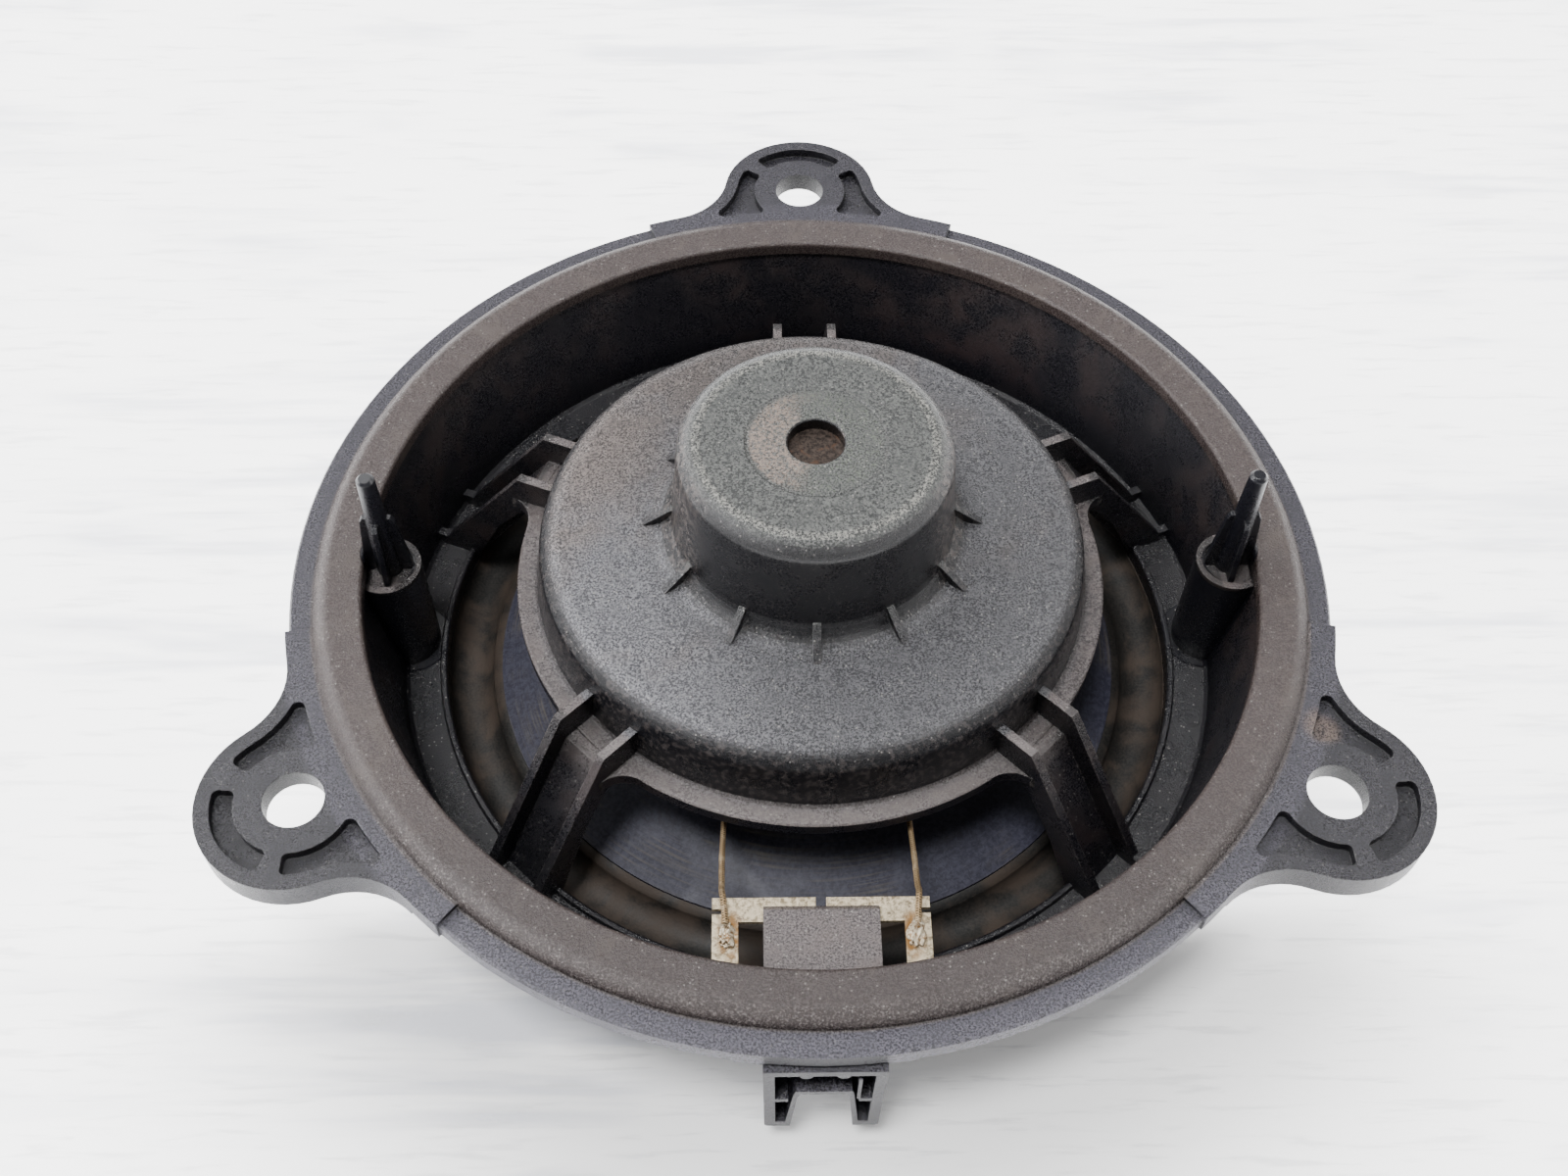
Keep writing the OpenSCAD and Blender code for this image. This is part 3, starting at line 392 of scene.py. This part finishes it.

    # Boss: grey-green top with a washer mark, tan crystals left and green ones right; dark speckled side
    # with painted light on its left and right
    pale = k.mix(rough_grain, (0.024, 0.026, 0.026), (0.140, 0.144, 0.135))
    left = k.step(k.math("COSINE", k.math("SUBTRACT", k.angle, 3.2)), -0.3, 0.9)
    annulus = k.band(k.r, 4.9, 9.6, 0.6)
    crystals = k.step(k.noise(1.9, 4, 0.8), 0.46, 0.54)
    tan = k.mul(annulus, k.step(k.add(k.mul(left, 0.55), mottle), 0.62, 1.02), crystals, 0.72)
    pale = k.mix(tan, pale, (0.34, 0.255, 0.205))
    green = k.mul(annulus, k.invert(left), k.step(k.noise(2.6, 3, 0.7), 0.55, 0.62))
    pale = k.mix(k.mul(green, 0.6), pale, (0.16, 0.19, 0.13))
    ring = k.mul(k.band(k.r, 17.3, 18.2, 0.4), k.step(grain, 0.48, 0.58))
    pale = k.mix(k.mul(ring, 0.8), pale, (0.36, 0.35, 0.31))
    boss_side = k.mix(k.step(grain, 0.55, 0.68), (0.0035, 0.0035, 0.005), (0.050, 0.043, 0.041))
    # Painted light: the boss's left and right sides lighter in patches
    aside = k.mul(k.step(k.math("ABSOLUTE", k.math("COSINE", k.angle)), 0.75, 0.97),
                  k.step(coarse, 0.45, 0.60))
    boss_side = k.mix(k.mul(aside, 0.7), boss_side, (0.130, 0.108, 0.098))
    colour = k.mix(boss, colour, k.mix(top_face, boss_side, pale))

    # Raised rim: brown-grey dust; fine bright grains along the near outer edge, scratches plus painted
    # highlight; painted shade over the near side
    lip = k.mix(k.step(grain, 0.34, 0.66), (0.034, 0.025, 0.024), (0.088, 0.067, 0.062))
    lip = k.mix(k.mul(k.step(mottle, 0.5, 0.7), 0.3), lip, (0.110, 0.088, 0.072))
    near = k.step(k.y, -62.0, -30.0, 1.0, 0.0)
    # Scratches plus painted highlight along the near outer edge
    worn = k.mul(k.band(k.r, 76.8, 79.0, 0.8), near, k.step(grain, 0.55, 0.63))
    lip = k.mix(k.mul(worn, 0.7), lip, (0.34, 0.30, 0.285))
    # Painted shade: the rim darker on the near side
    lip = k.scaled(lip, k.invert(k.mul(near, 0.24)))
    colour = k.mix(rim, colour, lip)

    # Flange and ears: clean blue-black, paler on the near side from painted sheen, darker on the ears from
    # painted shade, darkest on the two near ears
    clean = k.mix(rough_grain, (0.012, 0.011, 0.016), (0.088, 0.083, 0.107))
    clean = k.mix(k.mul(k.step(mottle, 0.45, 0.75), 0.35), clean, (0.020, 0.019, 0.027))
    ears = k.mul(k.step(k.r, 83.0, 84.5), k.step(k.y, -76.0, -74.0))
    low_ears = k.mul(ears, k.step(k.y, -12.0, 12.0, 1.0, 0.0))
    near_flange = k.mul(k.step(k.y, -68.0, -50.0, 1.0, 0.0), k.invert(ears))
    # Painted sheen makes the near flange paler; painted shade darkens the ears, the two near ears most
    clean = k.scaled(clean, k.add(1.0, k.mul(near_flange, 0.38), k.mul(ears, -0.36),
                                  k.mul(low_ears, -0.24)))
    colour = k.mix(flange, colour, clean)
    stain = k.mul(k.spot(RUST_MARK[0], RUST_MARK[1], 1.6, 2.2), facing, k.step(grain, 0.40, 0.55), flange)
    colour = k.mix(k.mul(stain, 0.75), colour, (0.23, 0.165, 0.13))

    # Hole walls, the plug shroud's face and the flange's wall above it
    holes = 0.0
    for turn in EAR_ANGLES:
        place = EAR_HUB_R * math.cos(math.radians(turn)), EAR_HUB_R * math.sin(math.radians(turn))
        holes = k.largest(holes, k.spot(*place, EAR_HOLE_LOOK_R, 0.25))
    plug = k.mul(k.step(k.y, -82.6, -82.4, 1.0, 0.0), upright)
    over_plug = k.mul(k.step(k.math("ABSOLUTE", k.x), 8.2, 8.6, 1.0, 0.0),
                      k.step(k.y, -80.6, -80.3, 1.0, 0.0), upright,
                      k.step(k.z, -3.6, -3.4), k.step(k.z, -0.5, -0.2, 1.0, 0.0))
    shaded = k.largest(k.mul(holes, upright, 0.85), k.mul(plug, 0.85), k.mul(over_plug, 0.9))
    colour = k.mix(shaded, colour, SHADED)

    # Pegs and pillars: bare and smooth
    colour = k.mix(k.largest(peg, pillar), colour, (0.009, 0.009, 0.013))

    # Painted shade in corners, lighter edges from wear plus painted edge highlight, painted glints
    # Painted shade: colour darkened in corners found by occlusion
    painted_corner_shade = k.mul(corner, k.largest(k.mul(flange, upright), 0.35))
    colour = k.mix(k.mul(painted_corner_shade, 0.9), colour, (0.004, 0.004, 0.006))
    # Lighter edges: wear together with painted edge highlight
    bright = k.mul(edge, k.step(coarse, 0.35, 0.65), k.add(0.25, k.mul(flange, 0.15)))
    colour = k.mix(bright, colour, (0.24, 0.23, 0.225))
    # Painted glints: bright specks on faces that look back
    painted_glints = k.mul(k.specks(2.6, 0.06), facing, k.add(k.mul(k.invert(flange), 0.4), 0.25), k.invert(peg))
    colour = k.mix(painted_glints, colour, (0.42, 0.40, 0.37))

    # Smoother on the pegs and upright sides; painted shade darkens everything where pieces crowd together
    calm = k.largest(peg, pillar, k.mul(k.largest(housing, boss), upright))
    soft = k.add(k.mul(shoulder, -0.08), k.mul(rim, -0.03))
    roughness = k.add(k.step(mottle, 0.3, 0.7, 0.22, 0.31), soft, k.mul(rough_grain, 0.10))
    height = k.mul(k.add(grain, k.mul(coarse, 0.3)), k.invert(k.mul(calm, 0.8)))
    k.bump(height, 0.6, 0.3, normal)
    # Painted shade: colour darkened where occlusion within 14 mm is high
    colour = k.scaled(colour, k.step(k.open_air(14), 0.25, 0.95, 0.40, 0.90))
    return k.finish(colour, roughness, specular=0.52)


def tweeter_plastic():
    k = Look("tweeter_plastic")
    grain = k.noise(3.0, 3, 0.6)
    normal, edge = k.edges(0.2)
    light = (0.026, 0.026, 0.029)
    colour = k.mix(k.step(grain, 0.3, 0.7), (0.012, 0.012, 0.014), light)
    colour = k.mix(k.mul(edge, 0.3), colour, tuple(3 * v for v in light))
    k.bump(grain, 0.25, 0.12, normal)
    return k.finish(colour, k.step(k.noise(0.3, 2), 0.3, 0.7, 0.45, 0.45 + 0.12), specular=0.5)


def steel():
    k = Look("motor_steel")
    pits = k.noise(1.6, 4, 0.7)
    rust = k.noise(0.4, 4, 0.65, 0.5)
    colour = k.mix(k.step(pits, 0.35, 0.65), (0.018, 0.013, 0.011), (0.085, 0.064, 0.053))
    colour = k.mix(k.mul(k.step(rust, 0.5, 0.65), 0.6), colour, (0.120, 0.062, 0.036))
    k.bump(pits, 0.5, 0.15)
    return k.finish(colour, k.step(pits, 0.3, 0.7, 0.45, 0.7), metallic=0.7)


def polished(name, dark, light, roughness):
    k = Look(name)
    lines = k.noise(1.0, 3, 0.6, 0, k.around(0.1, 5.0))
    colour = k.mix(k.step(lines, 0.3, 0.7), dark, light)
    k.bump(lines, 0.08, 0.05)
    worn = k.step(k.noise(0.5, 3), 0.3, 0.7, roughness, roughness + 0.15)
    return k.finish(colour, worn, metallic=1.0)


def terminal_tin():
    """Tinned strip with brown flux near the solder and fine dents."""
    k = Look("terminal_tin")
    pitting = k.noise(1.8, 4, 0.65)
    stain = k.noise(0.55, 3, 0.6, 0.8)
    normal, edge = k.edges(0.18)
    colour = k.mix(k.step(pitting, 0.3, 0.62), (0.17, 0.130, 0.075), (0.62, 0.525, 0.375))
    aside = k.math("SUBTRACT", k.math("ABSOLUTE", k.x), FLUX_PLACE[0])
    along = k.math("ADD", k.y, FLUX_PLACE[1])
    far = k.math("SQRT", k.add(k.mul(aside, aside, 1.6), k.mul(along, along, 0.35)))
    flux = k.mul(k.step(far, 1.2, 3.0, 1.0, 0.0), k.step(stain, 0.30, 0.55))
    colour = k.mix(flux, colour, (0.20, 0.095, 0.022))
    dots = k.mul(k.step(k.noise(1.1, 4, 0.7), 0.60, 0.66), 0.7)
    colour = k.mix(dots, colour, (0.085, 0.055, 0.040))
    k.bump(pitting, 0.45, 0.16, normal)
    return k.finish(colour, k.step(stain, 0.3, 0.7, 0.34, 0.55), metallic=0.55)


def solder():
    k = Look("solder")
    lumps = k.noise(1.6, 4, 0.65, 0.4)
    colour = k.mix(k.step(lumps, 0.36, 0.60), (0.16, 0.085, 0.030), (0.52, 0.46, 0.35))
    k.bump(lumps, 0.7, 0.3)
    return k.finish(colour, k.step(lumps, 0.3, 0.7, 0.28, 0.5), metallic=0.7)


def foam():
    k = Look("gasket_foam")
    cells = k.noise(2.2, 4, 0.7)
    colour = k.mix(k.step(cells, 0.35, 0.65), (0.012, 0.012, 0.013), (0.045, 0.044, 0.045))
    k.bump(cells, 0.7, 0.3)
    return k.finish(colour, 0.9)


def rubber():
    """Dark rubber with a painted olive-brown sheen in patches and turned mould lines."""
    k = Look("surround_rubber")
    sheen_patches = k.noise(0.10, 4, 0.6, 0.5)
    grain = k.noise(2.6, 3, 0.6)
    lines = k.noise(1.0, 2, 0.5, 0, k.around(0.05, 3.0))
    colour = k.mix(k.step(grain, 0.3, 0.7), (0.006, 0.006, 0.006), (0.020, 0.018, 0.016))
    # Painted sheen: olive-brown patches
    colour = k.mix(k.mul(k.step(sheen_patches, 0.40, 0.62), 0.7), colour, (0.050, 0.036, 0.027))
    k.bump(k.add(k.mul(lines, 0.5), grain), 0.25, 0.15)
    return k.finish(colour, k.step(sheen_patches, 0.3, 0.7, 0.50, 0.72), specular=0.3)


def paper():
    """Pressed black cone with turned ribs that catch the light and a painted olive sheen in hazy patches
    along them.
    """
    k = Look("cone_paper")
    fibres = k.noise(1.3, 4, 0.7, 0.6)
    lines = k.noise(1.0, 3, 0.55, 0, k.around(0.04, 2.4))
    haze = k.noise(0.07, 3, 0.55, 0.5)
    colour = k.mix(k.step(fibres, 0.35, 0.65), (0.015, 0.015, 0.026), (0.034, 0.034, 0.052))
    # Painted sheen: olive patches along the turned ribs
    painted_sheen = k.mul(k.step(haze, 0.44, 0.7), k.step(lines, 0.4, 0.7), 0.7)
    colour = k.mix(painted_sheen, colour, (0.090, 0.078, 0.060))
    k.bump(k.add(k.mul(fibres, 0.4), k.mul(lines, 0.8)), 0.4, 0.2)
    return k.finish(colour, k.step(haze, 0.3, 0.7, 0.45, 0.65), specular=0.3)


def glue():
    k = Look("glue")
    flow = k.noise(0.8, 3, 0.5, 0.6)
    colour = k.mix(k.step(flow, 0.35, 0.65), (0.020, 0.017, 0.014), (0.070, 0.055, 0.040))
    k.bump(flow, 0.4, 0.25)
    return k.finish(colour, k.step(flow, 0.3, 0.7, 0.18, 0.35), specular=0.6)


def former_film():
    k = Look("former_film")
    streaks = k.noise(1.0, 3, 0.5, 0, k.around(0.6, 0.5))
    colour = k.mix(k.step(streaks, 0.3, 0.7), (0.30, 0.13, 0.025), (0.46, 0.23, 0.060))
    k.bump(streaks, 0.1, 0.05)
    return k.finish(colour, k.step(streaks, 0.3, 0.7, 0.2, 0.32))


def copper():
    k = Look("coil_copper")
    wave = k.node("ShaderNodeTexWave", wave_type="BANDS", bands_direction="Z")
    k.put(wave.inputs["Vector"], k.point)
    wave.inputs["Scale"].default_value = 1.2
    turns = wave.outputs[1]
    colour = k.mix(turns, (0.22, 0.075, 0.028), (0.62, 0.27, 0.12))
    k.bump(turns, 0.8, 0.1)
    return k.finish(colour, k.step(k.noise(1.0, 2), 0.3, 0.7, 0.25, 0.4), metallic=0.9)


def woven(name, dark, light, scale, roughness):
    """Cloth with a fine square weave."""
    k = Look(name)
    threads = []
    for axis in "XY":
        wave = k.node("ShaderNodeTexWave", wave_type="BANDS", bands_direction=axis)
        k.put(wave.inputs["Vector"], k.point)
        wave.inputs["Scale"].default_value = scale
        threads.append(wave.outputs[1])
    weave = k.math("MAXIMUM", *threads)
    blotch = k.noise(0.3, 3, 0.6)
    colour = k.mix(weave, dark, light)
    colour = k.mix(k.mul(k.step(blotch, 0.4, 0.7), 0.35), colour, dark)
    k.bump(weave, 0.5, 0.12)
    return k.finish(colour, k.step(blotch, 0.3, 0.7, roughness, roughness + 0.1))


def lead_braid():
    """Tarnished tinsel braid: two sets of strands crossing round the lead."""
    k = Look("lead_braid")
    split = k.node("ShaderNodeSeparateXYZ")
    k.tree.links.new(k.node("ShaderNodeTexCoord").outputs["UV"], split.inputs[0])
    round_it, along = split.outputs[0], split.outputs[1]
    strands = []
    for hand in (1.0, -1.0):
        phase = k.add(k.mul(along, 2.6), k.mul(round_it, 3.0 * hand))
        strands.append(k.math("ABSOLUTE", k.math("SINE", k.mul(phase, math.pi))))
    braid = k.math("MAXIMUM", *strands)
    tarnish = k.noise(0.6, 3, 0.6)
    colour = k.mix(k.step(braid, 0.55, 1.0), (0.040, 0.025, 0.012), (0.34, 0.235, 0.125))
    colour = k.mix(k.mul(k.step(tarnish, 0.50, 0.65), 0.5), colour, (0.50, 0.40, 0.27))
    k.bump(braid, 0.8, 0.15)
    return k.finish(colour, k.step(tarnish, 0.3, 0.7, 0.35, 0.55), metallic=0.6)


def wire_sleeve():
    k = Look("wire_sleeve")
    marks = k.noise(0.9, 3, 0.6)
    colour = k.mix(k.step(marks, 0.3, 0.7), (0.008, 0.011, 0.030), (0.016, 0.022, 0.055))
    k.bump(marks, 0.2, 0.1)
    return k.finish(colour, k.step(marks, 0.3, 0.7, 0.25, 0.4), specular=0.5)


def floor_look():
    """Pale painted table with bluish brushed smears, shaded in front of the speaker."""
    k = Look("table")
    stretched = k.vector(k.mul(k.x, 0.10), k.y, 0.0)
    smears = k.noise(0.09, 4, 0.65, 0.3, stretched)
    fine = k.noise(0.5, 4, 0.65, 0.2, stretched)
    patches = k.noise(0.012, 3, 0.5, 0.4)
    colour = k.mix(k.mul(k.step(smears, 0.46, 0.66), k.step(patches, 0.38, 0.58), 0.75),
                   (0.87, 0.87, 0.868), (0.50, 0.515, 0.57))
    colour = k.mix(k.mul(k.step(fine, 0.52, 0.66), 0.5), colour, (0.56, 0.565, 0.575))
    k.bump(fine, 0.05, 0.1)
    in_front = k.step(k.y, FLOOR_SHADE_Y[0], FLOOR_SHADE_Y[1], 1.0, 0.0)
    covered = k.mul(k.invert(k.open_air(95, (0.0, 0.72, 0.69), 10)), in_front)
    glow = k.step(covered, 0.02, 0.50, FLOOR_GLOW, 0.10)
    k.put(k.shader.inputs["Emission Color"], colour)
    k.put(k.shader.inputs["Emission Strength"], glow)
    return k.finish(colour, k.step(smears, 0.3, 0.7, 0.5, 0.6), specular=0.3)


# ---- Meshes ----

def add_mesh(name, points, faces, slot_name, look, smooth=True, uvs=None):
    mesh = bpy.data.meshes.new(name)
    mesh.from_pydata([tuple(v * MM for v in p) for p in points], [], faces)
    mesh.polygons.foreach_set("use_smooth", [smooth] * len(mesh.polygons))
    if uvs is not None:
        layer = mesh.uv_layers.new(name="UVMap")
        loops = np.empty(len(mesh.loops), np.int32)
        mesh.loops.foreach_get("vertex_index", loops)
        layer.data.foreach_set("uv", np.array(uvs, np.float32)[loops].ravel())
    mesh.update()
    obj = bpy.data.objects.new(name, mesh)
    bpy.context.scene.collection.objects.link(obj)
    obj.data.materials.append(look)
    return obj


def turned(profile, turns=192):
    """Points and faces of a closed profile of (r, z) turned round the axis."""
    n = len(profile)
    points, faces = [], []
    for i in range(turns):
        a = 2 * math.pi * i / turns
        points += [(r * math.cos(a), r * math.sin(a), z) for r, z in profile]
        j = (i + 1) % turns
        faces += [(i * n + k, i * n + (k + 1) % n, j * n + (k + 1) % n, j * n + k) for k in range(n)]
    return points, faces


def radial_weights(obj):
    """Reads the vertex positions into an array and sets no blend weights."""
    co = np.empty(len(obj.data.vertices) * 3)
    obj.data.vertices.foreach_get("co", co)


def flexing(obj):
    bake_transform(obj)


def curve_points(knots, steps):
    """Catmull-Rom curve through the knots."""
    knots = [Vector(k) for k in knots]
    out = []
    for i in range(len(knots) - 1):
        a, b, c, d = (knots[max(0, min(len(knots) - 1, j))] for j in (i - 1, i, i + 1, i + 2))
        for s in range(steps):
            t = s / steps
            out.append(0.5 * (2 * b + (c - a) * t + (2 * a - 5 * b + 4 * c - d) * t * t
                              + (3 * b - a - 3 * c + d) * t ** 3))
    return out + [knots[-1]]


def swept(path, radius, sides=16):
    """Points, faces and uvs of a round tube; radius is a function of the length along it."""
    points, uvs = [], []
    length = 0.0
    side = Vector((1, 0, 0))
    for i, p in enumerate(path):
        if i:
            length += (p - path[i - 1]).length
        tangent = (path[min(i + 1, len(path) - 1)] - path[max(i - 1, 0)]).normalized()
        side = (side - tangent * side.dot(tangent)).normalized()
        other = tangent.cross(side)
        for s in range(sides):
            a = 2 * math.pi * s / sides
            points.append(p + radius(length) * (math.cos(a) * side + math.sin(a) * other))
            uvs.append((s / sides, length))
    faces = []
    for start in range(0, (len(path) - 1) * sides, sides):
        for s in range(sides):
            t = (s + 1) % sides
            faces.append((start + s, start + t, start + sides + t, start + sides + s))
    faces += [tuple(reversed(range(sides))), tuple(range(len(points) - sides, len(points)))]
    return points, faces, uvs


# ---- Named sizes that the CAD doesn't carry on its nodes (mm) ----

LEAD_ROUTE = [(13.5, -62.2, -2.5), (13.7, -60, -2.45), (13.9, -58, -2.45), (14.05, -56.6, -3.6),
              (14.1, -54.6, -5.6), (14.1, -48, -8), (13.6, -38, -9.4), (12.8, -30, -9.2),
              (12.1, -25.3, -10.3), (12.1, -22.9, -12.1)]
TWEETER_LEAD_ROUTE = [(12, -21.6, -14.4), (11.4, -19.2, -15.6), (10.2, -15, -15.6), (8.4, -11.2, -16),
                      (7.7, -9.9, -17.3), (7.7, -9.9, -18.9)]
LEAD_R, TWEETER_LEAD_R = 0.45, 0.55
LEDGE_UNDER_Z, SKIRT_UNDER_Z = -24.8, -4.45
ROLL_MID_R, ROLL_HALF, ROLL_DEPTH = 57.4, 4.2, 3.6
SURROUND_T, SURROUND_OUTER_R, SURROUND_BOND_R = 0.5, 67.8, 50.2
CONE_T, CONE_R, CONE_EDGE_Z, NECK_Z, FORMER_R = 0.6, 52.2, -24.2, -8.0, 15.3
SPIDER_STEPS, SPIDER_WAVES, SPIDER_WAVE_H, SPIDER_T = 150, 6, 0.95, 0.5
SPIDER_LAND_R, SPIDER_EDGE_R = 42.3, 46.4
SOLDER_PLACE, SOLDER_SIZE = (13.4, -63.6, -2.85), (1.15, 2.0, 0.75)
SOLDER_SIDES = ((-1, "left", 4), (1, "right", 9))  # side, name and seed


def cone_z(r):
    t = (r - FORMER_R) / (CONE_R - FORMER_R)
    return NECK_Z + (CONE_EDGE_Z - NECK_Z) * t - 1.2 * math.sin(math.pi * t)


def build_surround(look):
    steps = 40
    arc = [(ROLL_MID_R + ROLL_HALF * math.cos(math.pi * i / steps),
            LEDGE_UNDER_Z - 0.25 - ROLL_DEPTH * math.sin(math.pi * i / steps)) for i in range(steps + 1)]
    back = [(ROLL_MID_R + (ROLL_HALF - SURROUND_T) * math.cos(math.pi * i / steps),
             LEDGE_UNDER_Z - (ROLL_DEPTH - SURROUND_T + 0.1) * math.sin(math.pi * i / steps))
            for i in range(steps, -1, -1)]
    glue_z = CONE_EDGE_Z - CONE_T
    bond_z = cone_z(SURROUND_BOND_R) - CONE_T
    profile = ([(SURROUND_OUTER_R, LEDGE_UNDER_Z), (SURROUND_OUTER_R, LEDGE_UNDER_Z - SURROUND_T),
                (ROLL_MID_R + ROLL_HALF + 0.1, LEDGE_UNDER_Z - SURROUND_T)] + arc[1:-1]
               + [(ROLL_MID_R - ROLL_HALF - 0.1, glue_z - SURROUND_T),
                  (SURROUND_BOND_R, bond_z - SURROUND_T), (SURROUND_BOND_R, bond_z), (CONE_R, glue_z)]
               + back[1:-1] + [(ROLL_MID_R + ROLL_HALF - SURROUND_T, LEDGE_UNDER_Z)])
    obj = add_mesh("rubber_surround", *turned(profile), "surround_rubber", look)
    flexing(obj)
    radial_weights(obj)
    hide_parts("surround")


def build_spider(look):
    mid_z = SKIRT_UNDER_Z - SPIDER_T
    inner = FORMER_R + 1.2
    full_turns = 2 * math.pi * SPIDER_WAVES
    wave = [(inner + (SPIDER_LAND_R - inner) * i / SPIDER_STEPS,
             mid_z - SPIDER_WAVE_H * (1 - math.cos(full_turns * i / SPIDER_STEPS)) / 2)
            for i in range(SPIDER_STEPS + 1)]
    profile = ([(FORMER_R + 0.02, mid_z + SPIDER_T)] + [(r, z + SPIDER_T) for r, z in wave]
               + [(SPIDER_EDGE_R, mid_z + SPIDER_T), (SPIDER_EDGE_R, mid_z)] + wave[::-1]
               + [(FORMER_R + 0.02, mid_z)])
    obj = add_mesh("cloth_spider", *turned(profile), "spider_cloth", look)
    flexing(obj)
    radial_weights(obj)
    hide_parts("spider")


def build_leads(braid, covered):
    for side, name in ((-1, "left"), (1, "right")):
        path = [Vector((side * p.x, p.y, p.z)) for p in curve_points(LEAD_ROUTE, 14)]
        points, faces, uvs = swept(path, lambda s: LEAD_R * (1 + 0.05 * math.sin(9 * s)))
        obj = add_mesh("braided_lead_" + name, points, faces, "lead_braid", braid, uvs=uvs)
        flexing(obj)
        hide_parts("lead_" + name)
        path = [Vector((side * p.x, p.y, p.z)) for p in curve_points(TWEETER_LEAD_ROUTE, 12)]
        points, faces, uvs = swept(path, lambda s: TWEETER_LEAD_R)
        obj = add_mesh("tweeter_wire_" + name, points, faces, "wire_sleeve", covered, uvs=uvs)
        flexing(obj)
        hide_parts("tweeter_lead_" + name)


def lumpy(seed, centre, size, count=26):
    """Rough blob round centre: an ellipsoid whose surface is pushed about by a few smooth waves."""
    rng = np.random.default_rng(seed)
    waves = [(rng.normal(size=3) * 2.4, rng.uniform(0, 6.3), rng.uniform(0.05, 0.13)) for _ in range(6)]
    points, faces = [], []
    for i in range(count + 1):
        for j in range(2 * count):
            a, b = math.pi * i / count, math.pi * j / count
            d = np.array([math.sin(a) * math.cos(b), math.sin(a) * math.sin(b), math.cos(a)])
            swell = 1 + sum(h * math.sin(float(w @ d) * 2 + p) for w, p, h in waves)
            points.append(tuple(np.array(centre) + d * np.array(size) * swell))
    n = 2 * count
    for i in range(count):
        for j in range(n):
            k = (j + 1) % n
            faces.append((i * n + j, (i + 1) * n + j, (i + 1) * n + k, i * n + k))
    return points, faces


def build_solder(look):
    x, y, z = SOLDER_PLACE
    for side, name, seed in SOLDER_SIDES:
        obj = add_mesh("solder_lump_" + name, *lumpy(seed, (side * x, y, z), SOLDER_SIZE), "solder", look)
        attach(obj, "basket_assembly")
        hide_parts("solder_" + name)


# ---- Put together ----

looks = {
    "basket_plastic": basket_plastic(),
    "motor_steel": steel(),
    "magnet_nickel": polished("magnet_nickel", (0.42, 0.42, 0.40), (0.60, 0.60, 0.58), 0.22),
    "terminal_tin": terminal_tin(),
    "solder": solder(),
    "gasket_foam": foam(),
    "surround_rubber": rubber(),
    "cone_paper": paper(),
    "glue": glue(),
    "former_film": former_film(),
    "coil_copper": copper(),
    "spider_cloth": woven("spider_cloth", (0.18, 0.105, 0.030), (0.40, 0.27, 0.10), 0.55, 0.7),
    "lead_braid": lead_braid(),
    "wire_sleeve": wire_sleeve(),
    "post_metal": polished("post_metal", (0.40, 0.40, 0.39), (0.58, 0.58, 0.56), 0.3),
    "tweeter_plastic": tweeter_plastic(),
    "dome_silk": woven("dome_silk", (0.012, 0.011, 0.014), (0.040, 0.036, 0.044), 0.9, 0.6),
}

for part in frame["record"]["subparts"]:
    node = nodes[part["node"]]
    node.data.materials.clear()
    node.data.materials.append(looks[part["material_slot"]])

build_surround(looks["surround_rubber"])
build_spider(looks["spider_cloth"])
build_leads(looks["lead_braid"], looks["wire_sleeve"])
build_solder(looks["solder"])

floor_mesh = bpy.data.meshes.new("table")
corners = [(-1, -1), (1, -1), (1, 1), (-1, 1)]
floor_mesh.from_pydata([(x * FLOOR_HALF, y * FLOOR_HALF, FLOOR_Z) for x, y in corners], [], [(0, 1, 2, 3)])
floor = bpy.data.objects.new("table", floor_mesh)
bpy.context.scene.collection.objects.link(floor)
floor.data.materials.append(floor_look())
